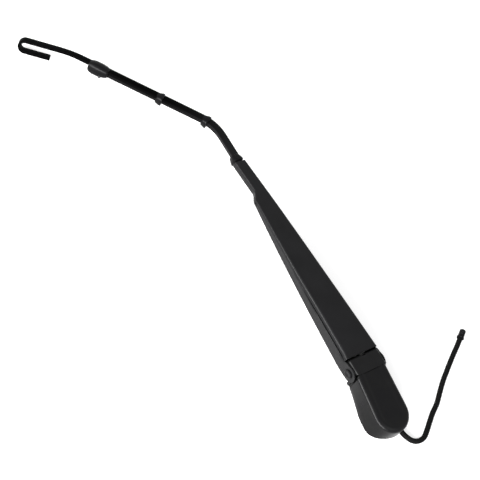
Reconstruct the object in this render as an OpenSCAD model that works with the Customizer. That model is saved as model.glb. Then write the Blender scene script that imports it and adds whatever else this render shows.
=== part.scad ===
// Wiper arm with a washer hose, hinged head, flip-up nut cover and J-hook end.
// The origin is on the spindle axis at the base of the head. +X runs to the hook, +Z away from the glass.

/* [Head casting] */
// Distance from the spindle axis to the arm's hinge pin
hinge_x = 49.5; // [46:0.5:56]
// Height of the hinge pin above the base
hinge_z = 17.5; // [16:0.5:20]
// Radius of the channel's round ears at the hinge
ear_r = 8.6; // [8:0.1:9.4]
// Side play between the knuckle and each of the channel's ears
ear_play = 0.2; // [0.1:0.05:0.5]
// Sideways offset of the arm's centre line from the spindle axis
arm_y = -4; // [-6:0.5:0]
// Outer radius of the spindle boss
boss_r = 10.6; // [10:0.1:11.5]
// Height of the seat that the nut bears on
nut_seat_z = 12; // [10:0.5:14]
// Thickness of the casting's floor beside the boss
floor_t = 4; // [3:0.5:6]

/* [Spindle seat] */
// Radius of the straight register at the mouth of the seat
register_r = 6; // [5.5:0.1:6.5]
// Depth of the straight register
register_h = 3; // [2:0.5:4]
// Radius at the wide end of the serrated taper
taper_big_r = 5.7; // [5:0.1:5.9]
// Radius at the narrow end of the serrated taper
taper_small_r = 4.9; // [4.4:0.1:5]
// Radius of the clearance hole for the spindle's thread
stud_hole_r = 4.2; // [4:0.1:4.3]
// Length of the clearance hole
stud_hole_h = 3; // [2:0.5:4]

/* [Nut cover] */
// Half width of the cover over the spindle
cover_r = 18.8; // [18.2:0.1:20]
// Sideways offset of the cover's round end
cover_dy = -0.6; // [-1:0.1:0]
// Thickness of the cover's wall
cover_wall = 1.8; // [1.4:0.1:2.2]
// Height of the cover's top at its hinge
cover_front_z = 27.1; // [26:0.1:29]
// Height of the cover's top at its rear end
cover_rear_z = 20.5; // [19:0.1:23]
// Outward flare of the cover's skirt on its visible side
skirt_flare = 4.4; // [0:0.1:5]
// Rise of the skirt's lower edge at the rear
skirt_rise = 3.4; // [0:0.1:4]
// Radius of the rounded edge round the cover's top
cover_edge_r = 2.6; // [1.5:0.1:3]
// Width of the notch in the skirt where the hose leaves
notch_w = 7.6; // [6.5:0.1:9]
// Height of the notch above the base
notch_z = 8; // [7:0.1:9]
// Distance of the cover's own hinge line behind the hinge pin
cover_hinge_back = 10; // [9.9:0.1:12]
// Depth of the cover's own hinge line below its top
cover_hinge_drop = 4.4; // [4.4:0.1:4.8]
// Radius of the cover's hinge barrel
cover_barrel_r = 2.6; // [2.6:0.1:2.8]
// Radius of the cover's stub pins
stub_r = 1.2; // [1:0.1:1.4]

/* [Hinge] */
// Radius of the hinge pin
pin_r = 3.5; // [3:0.1:4]
// Wall of the hinge bushes
bush_wall = 1.2; // [0.8:0.1:1.6]
// Radius of the riveted heads of the hinge pin
pin_head_r = 4.6; // [4.2:0.1:5.2]
// Thickness of the riveted heads of the hinge pin
pin_head_h = 1.5; // [1:0.1:2]

/* [Channel] */
// Thickness of the channel's sheet
sheet_t = 1.6; // [1.2:0.1:2]
// Distance from the hinge pin to the start of the channel's top plate
top_start_dx = 10.5; // [10:0.5:13]
// End of the channel, measured from the spindle axis
channel_end_x = 291; // [270:1:310]
// Width of the channel over its sides at the hinge
channel_w = 38.6; // [38.6:0.1:40]
// Outward bow of the channel's sides halfway along
side_bow = 1.1; // [0:0.1:1.5]
// Sideways offset of the neck from the channel's centre line
neck_y = -1.2; // [-2:0.1:1]
// Width of the channel's neck at its end
neck_w = 12.6; // [12:0.1:14]
// Length of the narrow neck
neck_l = 36; // [35:1:48]
// Height of the channel's top at the hinge
top_z = 27; // [26:0.1:28]
// Height of the channel's top at its end
top_end_z = 20.3; // [19:0.1:21]
// Depth of the channel's sides at the hinge
side_h = 18.8; // [17:0.1:20]
// Depth of the channel's sides at the shoulder
side_end_h = 6; // [5.5:0.1:8]
// Depth of the neck
neck_h = 7; // [6:0.1:8]
// Outer radius of the folds along the channel
fold_r = 3; // [2:0.1:4]

/* [Bar] */
// Width of the flat bar
bar_w = 8.6; // [8:0.1:9]
// Thickness of the flat bar
bar_t = 3; // [2.6:0.1:3.4]
// Gap inside the hook
hook_gap = 8.6; // [8:0.1:9.5]
// Length of the hook's short leg
hook_leg = 26.5; // [22:0.5:34]
// Bend of the bar past the neck, in degrees
bend_one = 39; // [30:1:42]
// Bend of the bar past the nozzle, in degrees
bend_two = 14; // [8:1:20]
// Twist of the hook about the bar, in degrees
bar_twist = 22; // [10:1:26]
// Distance from the channel's end to the first bend
lead_l = 50; // [42:1:55]
// Distance between the two bends
mid_l = 162; // [150:1:175]
// Distance from the second bend to the hook's round end
tail_l = 46.5; // [44:0.5:60]
// Radius of the first bend
bend_one_r = 42; // [30:1:50]
// Height of the bar's middle at the hook
hook_z = 13.8; // [13.7:0.1:16]

/* [Hose] */
// Outer diameter of the washer hose
hose_d = 5.2; // [4.6:0.1:5.4]

/* [Spring] */
// Outer radius of the tension spring
spring_r = 5.2; // [4.6:0.1:5.4]
// Radius of the spring's wire
wire_r = 0.9; // [0.7:0.05:1]
// Distance from the hinge pin to the rivet that holds the spring
spring_rivet_dx = 96; // [90:1:104]
// Distance of the spring's rivet below the hinge pin
spring_rivet_dz = 2.5; // [2:0.5:4]
// Distance of the spring's anchor in front of the hinge pin
anchor_dx = 1.5; // [0.5:0.5:2.5]
// Distance of the spring's anchor below the hinge pin
anchor_dz = 9; // [9:0.1:9.4]
// Radius of the spring's anchor pin
anchor_r = 2.5; // [2:0.1:2.7]
// Width of the slot for the spring link
slot_w = 4.8; // [4:0.1:5.4]
// Highest angle that the spring link swings to
slot_angle = 63; // [62:0.5:66]
// Length of the spring link between its eyes
link_l = 34; // [31:0.5:37]
// Thickness of the spring link
link_t = 3; // [2.5:0.1:3.4]
// Width of the spring link between its eyes
link_w = 4.4; // [4:0.1:5]

/* [Hidden] */
black = [0.09, 0.09, 0.1];
dark = [0.14, 0.14, 0.15];
zinc = [0.62, 0.63, 0.6];
steel = [0.7, 0.7, 0.72];
rubber = [0.06, 0.06, 0.06];
nylon = [0.18, 0.18, 0.18];
$fn = 48;
fit_gap = 0.05;
ear_in = channel_w / 2 - sheet_t;
knuckle_y = ear_in - ear_play;
top_start_x = hinge_x + top_start_dx;
knuckle_r = norm([top_start_dx, top_z - sheet_t - hinge_z]) - 0.35;
bush_r = pin_r + fit_gap + bush_wall;
hose_r = hose_d / 2;
cover_hinge_x = hinge_x - cover_hinge_back;
cover_hinge_z = cover_front_z - cover_hinge_drop;
cover_lip = 2;
cover_swing_r = norm([cover_lip, cover_hinge_drop]) + 0.25;
cover_front_x = cover_hinge_x + cover_lip;
anchor_x = hinge_x + anchor_dx;
anchor_z = hinge_z - anchor_dz;
spring_rivet_x = hinge_x + spring_rivet_dx;
spring_rivet_z = hinge_z - spring_rivet_dz;
spring_rivet_r = 2;
slot_y = slot_w / 2;
anchor_half = 5.5;
lane_y = -(boss_r + 0.2 + hose_r);
cover_y0 = min(arm_y - knuckle_y + 1, lane_y - hose_r - cover_wall - 0.6);
cover_y1 = arm_y + knuckle_y + 1.2;
cheek_y0 = cover_y0 + cover_wall + 0.3;
cheek_y1 = cover_y1 - cover_wall - 0.3;
cheek_t = 1.6;
notch_y = -11.8;
cheek_r = cover_hinge_drop - cover_wall - 0.3;
duct_z = hinge_z - bush_r - 0.55 - hose_r;
arm_hose_y = lane_y - arm_y;
shoulder_x = channel_end_x - neck_l;
shoulder_l = 12;
shoulder_in = 4.4;

// Loft through rings of points, with an even number of points in each ring
function mix(a, b, k) = a + (b - a) * k;
function ramp(v, a, b) = min(1, max(0, (v - a) / (b - a)));
function flat(lists) = [for (l = lists) for (e = l) e];
function arc(cx, cy, r, a0, a1, n) =
    [for (i = [0 : n]) [cx + r * cos(a0 + (a1 - a0) * i / n), cy + r * sin(a0 + (a1 - a0) * i / n)]];

module loft(rings) {
    n = len(rings[0]);
    m = len(rings);
    side = [for (j = [0 : m - 2]) for (i = [0 : n - 1])
        each [[j * n + i, (j + 1) * n + i, (j + 1) * n + (i + 1) % n],
            [j * n + i, (j + 1) * n + (i + 1) % n, j * n + (i + 1) % n]]];
    first = [for (k = [0 : n / 2 - 2]) [k, k + 1, n - 2 - k, n - 1 - k]];
    last = [for (f = first) [for (k = [3 : -1 : 0]) (m - 1) * n + f[k]]];
    polyhedron(points = flat(rings), faces = concat(first, side, last), convexity = 6);
}

module across(y0, y1) {
    translate([0, y1, 0]) rotate([90, 0, 0]) linear_extrude(y1 - y0) children();
}

module rod_y(x, z, r, y0, y1, fn = 48) {
    translate([x, y0, z]) rotate([-90, 0, 0]) cylinder(r = r, h = y1 - y0, $fn = fn);
}

// Swept tube through chosen points
function unit(v) = v / norm(v);
function spline(p, i, k) =
    let (a = p[max(i - 1, 0)], b = p[i], c = p[i + 1], d = p[min(i + 2, len(p) - 1)])
    0.5 * ((2 * b) + (c - a) * k + (2 * a - 5 * b + 4 * c - d) * k * k + (3 * b - a - 3 * c + d) * k * k * k);
function smooth(p, steps) =
    concat([for (i = [0 : len(p) - 2]) for (s = [0 : steps - 1]) spline(p, i, s / steps)], [p[len(p) - 1]]);
function tangent(p, i) = unit(p[min(i + 1, len(p) - 1)] - p[max(i - 1, 0)]);
function tube_ring(c, t, r, n) =
    let (u = unit(cross(t, [0, 0, 1])), w = cross(u, t))
    [for (k = [0 : n - 1]) c + r * (cos(360 * k / n) * u - sin(360 * k / n) * w)];

module tube(points, r, sides = 10, steps = 3) {
    p = smooth(points, steps);
    loft([for (i = [0 : len(p) - 1]) tube_ring(p[i], tangent(p, i), r, sides)]);
}

// Head casting: a boss over the spindle, a floor with a rim and a knuckle round the hinge pin
function head_outline() = concat(
    [[hinge_x + 20, arm_y - knuckle_y], [cover_front_x + 0.9, arm_y - knuckle_y], [cover_front_x + 0.9, cheek_y0]],
    [[24, lane_y - hose_r - 1]],
    arc(0, cover_dy, cover_r - cover_wall - 0.4, -100, -260, 24),
    [[24, cheek_y1 - 0.1], [cover_front_x + 0.9, cheek_y1 - 0.1], [cover_front_x + 0.9, arm_y + knuckle_y],
        [hinge_x + 20, arm_y + knuckle_y]]);

module knuckle_profile() {
    intersection() {
        union() {
            translate([hinge_x, hinge_z]) circle(r = knuckle_r, $fn = 120);
            polygon([[hinge_x, hinge_z - knuckle_r], [34, 1], [22, 0], [14, 0], [14, floor_t], [30, floor_t + 3],
                [34, cover_hinge_z - cover_swing_r - 3], [36, cover_hinge_z], [hinge_x, hinge_z + knuckle_r]]);
        }
        translate([0, 0]) square([hinge_x + 40, cover_front_z - 0.1]);
    }
}

module lower_front() {
    translate([hinge_x - 4, -60, -1]) cube([40, 60 + arm_y - anchor_half - 6, hinge_z - ear_r + 1.5]);
    translate([hinge_x - 4, arm_y + anchor_half + 6, -1]) cube([40, 60, hinge_z - ear_r + 1.5]);
}

module head_casting() {
    color(black) {
        difference() {
            union() {
                cylinder(r = boss_r, h = nut_seat_z + 1.5, $fn = 96);
                intersection() {
                    linear_extrude(floor_t) polygon(head_outline());
                    translate([-40, -40, 0]) cube([60, 80, 40]);
                }
                intersection() {
                    across(arm_y - knuckle_y, arm_y + knuckle_y) knuckle_profile();
                    linear_extrude(40) polygon(head_outline());
                }
                for (y = [arm_y - 2, arm_y + 8]) translate([8, y - 1.2, 0]) cube([28, 2.4, floor_t + 5]);
            }
            translate([0, 0, -1]) cylinder(r = register_r, h = register_h + 1);
            translate([0, 0, register_h - 0.01]) cylinder(r1 = taper_big_r, r2 = taper_small_r,
                h = nut_seat_z - stud_hole_h - register_h + 0.02, $fn = 72);
            cylinder(r = stud_hole_r, h = nut_seat_z + 5);
            translate([0, 0, nut_seat_z]) cylinder(r = boss_r - 1.2, h = 10);
            rod_y(hinge_x, hinge_z, bush_r, -40, 40);
            rod_y(anchor_x, anchor_z, anchor_r, arm_y - anchor_half, arm_y + anchor_half);
            across(arm_y - slot_y, arm_y + slot_y) slot_profile();
            duct();
            lower_front();
            rod_y(cover_hinge_x, cover_hinge_z, cover_swing_r, -40, 40, 72);
            translate([cover_hinge_x - 20, -40, cover_hinge_z - cover_swing_r + 0.6]) cube([20, 80, 20]);
        }
        for (y = [cheek_y0, cheek_y1 - cheek_t]) across(y, y + cheek_t) cheek_profile();
    }
}

module cheek_profile() {
    difference() {
        union() {
            translate([cover_hinge_x, cover_hinge_z]) circle(r = cheek_r);
            translate([cover_hinge_x - cheek_r, cover_hinge_z - 8]) square([2 * cheek_r, 8]);
        }
        translate([cover_hinge_x, cover_hinge_z]) circle(r = stub_r + fit_gap);
    }
}

module slot_profile() {
    r = anchor_r + eye_wall + 0.4;
    w = link_w / 2 + 0.4;
    c = cos(slot_angle);
    n = sin(slot_angle);
    translate([anchor_x, anchor_z]) circle(r = r);
    polygon([[anchor_x, anchor_z - r], [hinge_x + 30, anchor_z - r - 1], [hinge_x + 30, anchor_z + 60],
        [anchor_x - w * n + 60 * c, anchor_z + w * c + 60 * n], [anchor_x - w * n, anchor_z + w * c]]);
}

module duct() {
    translate([18, lane_y, duct_z]) rotate([0, 90, 0]) cylinder(r = hose_r + 0.35, h = 60);
    linear_extrude(40) polygon(concat(arc(0, 0, boss_r + 0.02, -90, -150, 12),
        [[-30, -18], [-30, -40], [24, -40], [24, -boss_r - 0.02]]));
}

// Nut cover: a thin moulded cap that turns on two stubs between the casting's cheeks
function cover_top(x) = mix(cover_front_z, cover_rear_z, (cover_hinge_x - x) / (cover_hinge_x + cover_r));
function cover_edge(inset) = concat([[cover_front_x, cover_y0 + inset]],
    arc(0, cover_dy, cover_r - inset, -90, -270, 33), [[cover_front_x, cover_y1 - inset]]);
function side_points(a, b, n) = [for (k = [1 : n - 1]) a + (b - a) * k / n];
function cover_line(inset) = let (e = cover_edge(inset), m = len(e) - 1)
    concat([e[0]], side_points(e[0], e[1], 5), [for (k = [1 : m - 1]) e[k]], side_points(e[m - 1], e[m], 5), [e[m]]);
function cover_ring(inset, drop) = [for (p = cover_line(inset)) [p[0], p[1], cover_top(p[0]) - drop]];
function cover_base(inset) = [for (p = cover_line(inset))
    [p[0], p[1] + skirt_flare * ramp(p[1], 2, 14) * (1 - ramp(p[0], 12, 36)), -2 - inset]];

module cover_shell(wall) {
    e = cover_edge_r;
    loft(concat([for (a = [90 : -15 : 0]) cover_ring(wall + e * (1 - cos(a)), wall + e * (1 - sin(a)))],
        [cover_base(wall)]));
}

module skirt_cut() {
    polygon([[-60, -10], [-60, 1.2 + skirt_rise], [-17, 1.2 + skirt_rise], [-6, 1.2], [8, 1.2], [cover_hinge_x, 4.6],
        [60, 4.6], [60, -10]]);
}

module nut_cover() {
    slot0 = cheek_y0 - 0.3;
    slot1 = cheek_y1 - cheek_t - 0.3;
    slot_h = cover_hinge_drop - cover_wall;
    color(dark) difference() {
        union() {
            difference() {
                cover_shell(0);
                cover_shell(cover_wall);
                across(-60, 60) skirt_cut();
                translate([cover_hinge_x - 3.4, cover_y0 + cover_wall, -1])
                    cube([20, cover_y1 - cover_y0 - 2 * cover_wall, cover_hinge_z + slot_h + 1]);
            }
            rod_y(cover_hinge_x, cover_hinge_z, cover_barrel_r, slot0 + cheek_t + 0.6, slot1);
            translate([cover_hinge_x - 1.6, slot0 + cheek_t + 0.6, cover_hinge_z])
                cube([3.2, slot1 - slot0 - cheek_t - 0.6, slot_h + 0.5]);
            rod_y(cover_hinge_x, cover_hinge_z, stub_r, cover_y0 + 0.6, cover_y1 - 0.6);
        }
        rod_y(hinge_x, hinge_z, ear_r + 0.7, -60, 60, 96);
        translate([cover_hinge_x, arm_y + ear_in - 0.4, -5]) cube([20, 20, 60]);
        translate([-30, notch_y - notch_w / 2, -1]) cube([23, notch_w, notch_z + 1]);
    }
}

// Hinge: a riveted pin in each ear, which turns in a bush in the casting
module hinge_pin(side) {
    out = channel_w / 2;
    translate([hinge_x, arm_y, hinge_z]) rotate([-90 * side, 0, 0]) {
        translate([0, 0, slot_y + 0.6]) cylinder(r = pin_r, h = out - slot_y - 0.5);
        translate([0, 0, out]) rotate_extrude() polygon([[0, 0], [pin_head_r, 0], [pin_head_r, pin_head_h * 0.5],
            [pin_head_r - 0.9, pin_head_h], [0, pin_head_h]]);
    }
}

module hinge_pin_left() { color(zinc) hinge_pin(1); }
module hinge_pin_right() { color(zinc) hinge_pin(-1); }

module hinge_bush(y0, y1) {
    color([0.55, 0.42, 0.22]) difference() {
        rod_y(hinge_x, hinge_z, bush_r, y0, y1);
        rod_y(hinge_x, hinge_z, pin_r + fit_gap, y0 - 1, y1 + 1);
    }
}

module hinge_bush_left() { hinge_bush(arm_y + slot_y, arm_y + knuckle_y); }
module hinge_bush_right() { hinge_bush(arm_y - knuckle_y, arm_y - slot_y); }

// Spring and its link
module anchor_pin() {
    color(steel) rod_y(anchor_x, anchor_z, anchor_r, arm_y - anchor_half, arm_y + anchor_half);
}

link_angle = atan2(spring_rivet_z - anchor_z, spring_rivet_x - anchor_x);
link_end_x = anchor_x + link_l * cos(link_angle);
link_end_z = anchor_z + link_l * sin(link_angle);
eye_wall = 2.2;
link_hole_r = 1.9;

module spring_link() {
    color(zinc) across(arm_y - link_t / 2, arm_y + link_t / 2) difference() {
        union() {
            translate([anchor_x, anchor_z]) circle(r = anchor_r + eye_wall);
            translate([link_end_x, link_end_z]) circle(r = link_hole_r + 1.9);
            translate([anchor_x, anchor_z]) rotate(link_angle) translate([0, -link_w / 2]) square([link_l, link_w]);
        }
        translate([anchor_x, anchor_z]) circle(r = anchor_r + fit_gap);
        translate([link_end_x, link_end_z]) circle(r = link_hole_r);
    }
}

module coil_profile(l) {
    turns = round(l / (4 * wire_r));
    pitch = l / turns;
    difference() {
        translate([spring_r - 2 * wire_r, 0]) square([2 * wire_r, l]);
        for (i = [1 : turns - 1]) translate([spring_r, i * pitch]) rotate(45) square(wire_r, center = true);
    }
}

module wire_ring(r) { rotate_extrude($fn = 24) translate([r, 0]) circle(r = wire_r, $fn = 16); }

module tension_spring() {
    l = norm([spring_rivet_x - link_end_x, spring_rivet_z - link_end_z]);
    ring = spring_rivet_r + wire_r + fit_gap;
    eye = 2.9;
    c0 = 7.5;
    c1 = l - 7.5;
    bar = 2 * (spring_r - 1.5 * wire_r);
    color(steel) translate([link_end_x, arm_y, link_end_z]) rotate([0, -link_angle, 0]) {
        translate([c0, 0, 0]) rotate([0, 90, 0]) rotate_extrude($fn = 24) coil_profile(c1 - c0);
        for (x = [c0 + wire_r, c1 - wire_r]) translate([x - wire_r * 0.7, -wire_r * 0.7, -bar / 2])
            cube([wire_r * 1.4, wire_r * 1.4, bar]);
        translate([eye, 0, 0]) wire_ring(eye);
        translate([2 * eye - 0.4, 0, 0]) rotate([0, 90, 0]) cylinder(r = wire_r, h = c0 - 2 * eye + 1, $fn = 24);
        translate([l, 0, 0]) rotate([90, 0, 0]) wire_ring(ring);
        translate([c1 - 0.5, 0, 0]) rotate([0, 90, 0]) cylinder(r = wire_r, h = l - ring - c1 + 0.8, $fn = 24);
    }
}

module spring_rivet() {
    color(zinc) rod_y(spring_rivet_x, spring_rivet_z, spring_rivet_r,
        arm_y + side_y(spring_rivet_x, -1) + 0.1, arm_y + side_y(spring_rivet_x, 1) - 0.1);
}

// Channel: one sheet folded to a tapering trough, with round ears at the hinge and a narrow neck
function side_y(x, s) =
    let (k = ramp(x, top_start_x, channel_end_x), y = mix(channel_w / 2, neck_w / 2, k) + 4 * side_bow * k * (1 - k))
    s < 0 ? neck_y * k - y : neck_y * k + y
        - shoulder_in * ramp(x, shoulder_x - shoulder_l, shoulder_x) * (1 - ramp(x, shoulder_x, channel_end_x));
function plate_z(x) = mix(top_z, top_end_z, ramp(x, top_start_x, channel_end_x));
function edge_drop(x) = let (k = ramp(x, top_start_x, shoulder_x - shoulder_l))
    x < shoulder_x - shoulder_l ? mix(side_h, side_end_h, k + 0.35 * k * (k - 1)) :
    mix(side_end_h, neck_h, ramp(x, shoulder_x - shoulder_l, shoulder_x));
function wall_ring(x, inset) =
    let (r = max(0.4, fold_r - inset), yl = side_y(x, 1) - inset, yr = side_y(x, -1) + inset,
        zt = plate_z(x) - inset, zb = plate_z(x) - edge_drop(x))
    concat([[yl, zb]], arc(yl - r, zt - r, r, 0, 90, 5), arc(yr + r, zt - r, r, 90, 180, 5), [[yr, zb]]);
function sheet_ring(x) =
    let (o = wall_ring(x, 0), i = wall_ring(x, sheet_t), n = len(o))
    [for (p = concat(o, [for (k = [n - 1 : -1 : 0]) i[k]])) [x, p[0], p[1]]];
stations = concat([for (k = [0 : 9]) mix(top_start_x, shoulder_x - shoulder_l, k / 9)],
    [for (k = [1 : 4]) mix(shoulder_x - shoulder_l, shoulder_x, k / 4)],
    [for (k = [1 : 3]) mix(shoulder_x, channel_end_x, k / 3)]);

module ear_profile() {
    difference() {
        union() {
            translate([hinge_x, hinge_z]) circle(r = ear_r, $fn = 96);
            polygon([[hinge_x + ear_r * cos(57), hinge_z + ear_r * sin(57)],
                [top_start_x + 0.01, top_z - fold_r * 0.5], [top_start_x + 0.01, top_z - side_h],
                [hinge_x - ear_r * sin(8), hinge_z - ear_r * cos(8)], [hinge_x, hinge_z]]);
        }
        translate([hinge_x, hinge_z]) circle(r = pin_r);
    }
}

module channel() {
    color(black) translate([0, arm_y, 0]) difference() {
        union() {
            loft([for (x = stations) sheet_ring(x)]);
            for (y = [-channel_w / 2, ear_in]) across(y, y + sheet_t) ear_profile();
        }
        rod_y(spring_rivet_x, spring_rivet_z, spring_rivet_r, -60, 60);
        for (x = rivet_xs) translate([x, bar_y(x), 0]) cylinder(r = rivet_r, h = 60);
    }
}

// Bar: a flat bar riveted in the neck, bent twice, twisted and turned back to a hook
rivet_r = 2;
rivet_xs = [channel_end_x - 28, channel_end_x - 12];
bar_start_x = channel_end_x - 50;
bar_z = top_end_z - sheet_t - bar_t / 2 - 0.15;
neck_turn = atan2(neck_y - (side_y(shoulder_x, 1) + side_y(shoulder_x, -1)) / 2, neck_l);
function bar_y(x) = neck_y - (channel_end_x - x) * tan(neck_turn);
bar_slope = (hook_z - bar_z) / (lead_l + mid_l + tail_l);
function heading(s) = let (a = bend_one_r * bend_one * PI / 360, b = 12, s1 = lead_l, s2 = lead_l + mid_l)
    neck_turn * (1 - ramp(s, -4, 4)) + bend_one * ramp(s, s1 - a, s1 + a) + bend_two * ramp(s, s2 - b, s2 + b);
bar_stops = concat([-50, -4, 4, lead_l - 18], [for (k = [-14 : 3.5 : 14]) lead_l + k],
    [for (k = [1 : 7]) lead_l + 18 + k * (mid_l - 36) / 8], [for (k = [-12 : 4 : 12]) lead_l + mid_l + k],
    [lead_l + mid_l + tail_l * 0.6, lead_l + mid_l + tail_l]);
function walk(i, p, s) = i >= len(bar_stops) ? [] :
    let (s1 = bar_stops[i], h = heading((s + s1) / 2), q = p + (s1 - s) * [cos(h), sin(h)])
    concat([[q[0], q[1], s1]], walk(i + 1, q, s1));
bar_path = walk(0, [channel_end_x - 50 * cos(neck_turn), neck_y - 50 * sin(neck_turn)], -50);
function bar_twist_at(s) = bar_twist * ramp(s, lead_l + 20, lead_l + mid_l + 12);
function frame_at(p) = let (s = p[2], h = heading(s), t = unit([cos(h), sin(h), s > 0 ? bar_slope : 0]),
    n0 = [-sin(h), cos(h), 0], w = bar_twist_at(s), up0 = cross(t, n0),
    up = unit(up0 * cos(w) - n0 * sin(w)), side = cross(up, t))
    [[p[0], p[1], bar_z + max(0, s) * bar_slope], t, side, up];
bar_frames = [for (p = bar_path) frame_at(p)];
last_frame = bar_frames[len(bar_frames) - 1];
hook_r = (hook_gap + bar_t) / 2;
function hook_frame(a) = let (c = last_frame[0] - last_frame[3] * hook_r, t = last_frame[1], u = last_frame[3])
    [c + hook_r * (u * cos(a) + t * sin(a)), unit(t * cos(a) - u * sin(a)), last_frame[2], u * cos(a) + t * sin(a)];
hook_end = hook_frame(180);
all_frames = concat(bar_frames, [for (a = [15 : 15 : 180]) hook_frame(a)],
    [[hook_end[0] + hook_end[1] * hook_leg, hook_end[1], hook_end[2], hook_end[3]]]);
function bar_ring(f, w = bar_w, t = bar_t, c = 0.5) = [for (q = [[1, -1], [1, 1], [-1, 1], [-1, -1]])
    each [for (k = q[0] * q[1] > 0 ? [1, 0] : [0, 1]) f[0] + f[2] * q[0] * (w / 2 - (k == 0 ? c : 0))
        + f[3] * q[1] * (t / 2 - (k == 0 ? 0 : c))]];

module wiper_bar() {
    color(black) translate([0, arm_y, 0]) difference() {
        loft([for (f = all_frames) bar_ring(f)]);
        for (x = rivet_xs) translate([x, bar_y(x), 0]) cylinder(r = rivet_r, h = 60);
    }
}

module bar_rivets() {
    color(black) translate([0, arm_y, 0]) for (x = rivet_xs) translate([x, bar_y(x), bar_z - bar_t / 2])
        cylinder(r = rivet_r, h = plate_z(x) - bar_z + bar_t / 2);
}

// Point beside the bar: s along it, a sideways, b above its middle
function beside(s, a, b) = let (i = max([for (k = [0 : len(bar_path) - 2]) bar_path[k][2] <= s ? k : 0]),
    k = (s - bar_path[i][2]) / (bar_path[i + 1][2] - bar_path[i][2]), f = frame_at([0, 0, s]))
    [mix(bar_path[i][0], bar_path[i + 1][0], k), mix(bar_path[i][1], bar_path[i + 1][1], k),
        bar_z + max(0, s) * bar_slope] + f[2] * a + f[3] * b;
hose_drop = -(bar_t / 2 + hose_r + 0.1);
clip_one_s = lead_l + 0.383 * mid_l;
clip_two_s = lead_l + 10;
nozzle_s = lead_l + mid_l - 32;
neck_clip_s = 6;

// Room cut for the bar and for the hose in the pieces that hold them
module bar_room(g) { loft([for (f = bar_frames) bar_ring(f, bar_w + 2 * g, bar_t + 2 * g, 0.4)]); }
module hose_room(g) { tube(hose_arm_points, hose_r + g, 10, 2); }

// Rounded block round the bar and the hose: stops along the bar, each with its growth in width and height
module wrap(s0, stops, c = 1.6) {
    loft([for (k = stops) let (f = frame_at([0, 0, s0 + k[0]]))
        bar_ring([beside(s0 + k[0], 0, -hose_r + k[3]), f[1], f[2], f[3]], bar_w + k[1], bar_t + hose_d + k[2], c)]);
}

hose_x0 = top_start_x + 6;
hose_x1 = shoulder_x - 20;
function hose_k(x) = (x - hose_x0) / (hose_x1 - hose_x0);
function hose_y(x) = mix(arm_hose_y, bar_y(hose_x1), ramp(hose_k(x), 0.467, 1));
function hose_z(x) = mix(duct_z, mix(plate_z(x) - sheet_t - 0.4 - hose_r, bar_z + hose_drop,
    ramp(hose_k(x), 0.763, 1)), ramp(hose_k(x), 0.083, 0.438));
hose_arm_points = concat([for (k = [0, 0.083, 0.17, 0.26, 0.38, 0.5, 0.615, 0.735, 0.82, 0.91, 1])
    let (x = mix(hose_x0, hose_x1, k)) [x, hose_y(x), hose_z(x)]],
    [for (s = [-40, -20, 0, 20, 34, 40, 47, 54, 60, 74, 90, 110, 130, 150, nozzle_s - 12, nozzle_s - 7])
        beside(s, 0, hose_drop)]);

module hose_arm() { color(rubber) translate([0, arm_y, 0]) tube(hose_arm_points, hose_r, 10, 2); }

hose_hinge_points = [[20.15, arm_hose_y, duct_z], [hinge_x, arm_hose_y, duct_z],
    [hose_x0 - 0.15, arm_hose_y, duct_z]];
module hose_hinge() { color(rubber) translate([0, arm_y, 0]) tube(hose_hinge_points, hose_r, 10, 3); }

module hose_clip_inner() {
    color(nylon) translate([0, arm_y, 0]) for (k = [0.66, 0.92]) let (x = mix(hose_x0, hose_x1, k)) difference() {
        translate([x - 3, hose_y(x) - hose_r - 0.8, hose_z(x) - hose_r * 0.5])
            cube([6, hose_d + 1.6, plate_z(x) - sheet_t - hose_z(x) + hose_r * 0.5 - 0.1]);
        hose_room(0.03);
    }
}

module neck_grommet() {
    color(nylon) translate([0, arm_y, 0]) difference() {
        wrap(neck_clip_s, [[-4, 1.8, 1.6, 0.1], [-2.4, 4, 3.6, 0.2], [2.4, 4, 3.6, 0.2], [4, 1.8, 1.6, 0.1]]);
        bar_room(0.1);
        hose_room(0.1);
    }
}

module bar_clip(s0) {
    color(nylon) translate([0, arm_y, 0]) difference() {
        wrap(s0, [[-3.6, 1.6, 1.4, 0.1], [-2, 3.6, 3.2, 0.2], [1.6, 3.6, 3.2, 0.2], [3.6, 1.6, 1.4, 0.1]]);
        bar_room(0.1);
        hose_room(0.1);
    }
}

module bar_clip_one() { bar_clip(clip_one_s); }
module bar_clip_two() { bar_clip(clip_two_s); }

// Nozzle: a lozenge of two halves snapped together over the bar, with the jet in its lower half
nozzle_stops = [[-10, 1.6, 0.6, 0], [-6, 3.4, 3.4, 0], [-1, 4.6, 5, -0.4], [6, 4.6, 5, -0.4],
    [9.5, 3.4, 3.6, -0.4], [11.5, 1.6, 1.2, 0.2]];
module nozzle_half(up) {
    d = 14;
    translate([0, arm_y, 0]) difference() {
        intersection() {
            wrap(nozzle_s, nozzle_stops, 1.8);
            loft([for (k = [-14, 16]) let (f = frame_at([0, 0, nozzle_s + k]))
                bar_ring([beside(nozzle_s + k, 0, up * d), f[1], f[2], f[3]], 40, 2 * d, 0.1)]);
        }
        bar_room(0.1);
        hose_room(0.1);
        translate(jet_at(-1)) jet_turn() cylinder(r = jet_r + 0.02, h = 40);
    }
}

jet_r = 1.5;
function jet_at(d) = beside(nozzle_s - 3, 4.6 + d, -hose_d - 1.2);
module jet_turn() { rotate([100, 0, bend_one + 180]) children(); }

module nozzle_body() { color(nylon) nozzle_half(-1); }
module nozzle_lid() { color(nylon) nozzle_half(1); }

module nozzle_insert() {
    color(dark) translate([0, arm_y, 0]) translate(jet_at(-1)) jet_turn() rotate_extrude()
        polygon([[0.5, 0], [jet_r, 0], [jet_r, 2.4], [1.1, 3.2], [0.5, 3.2]]);
}

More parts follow.
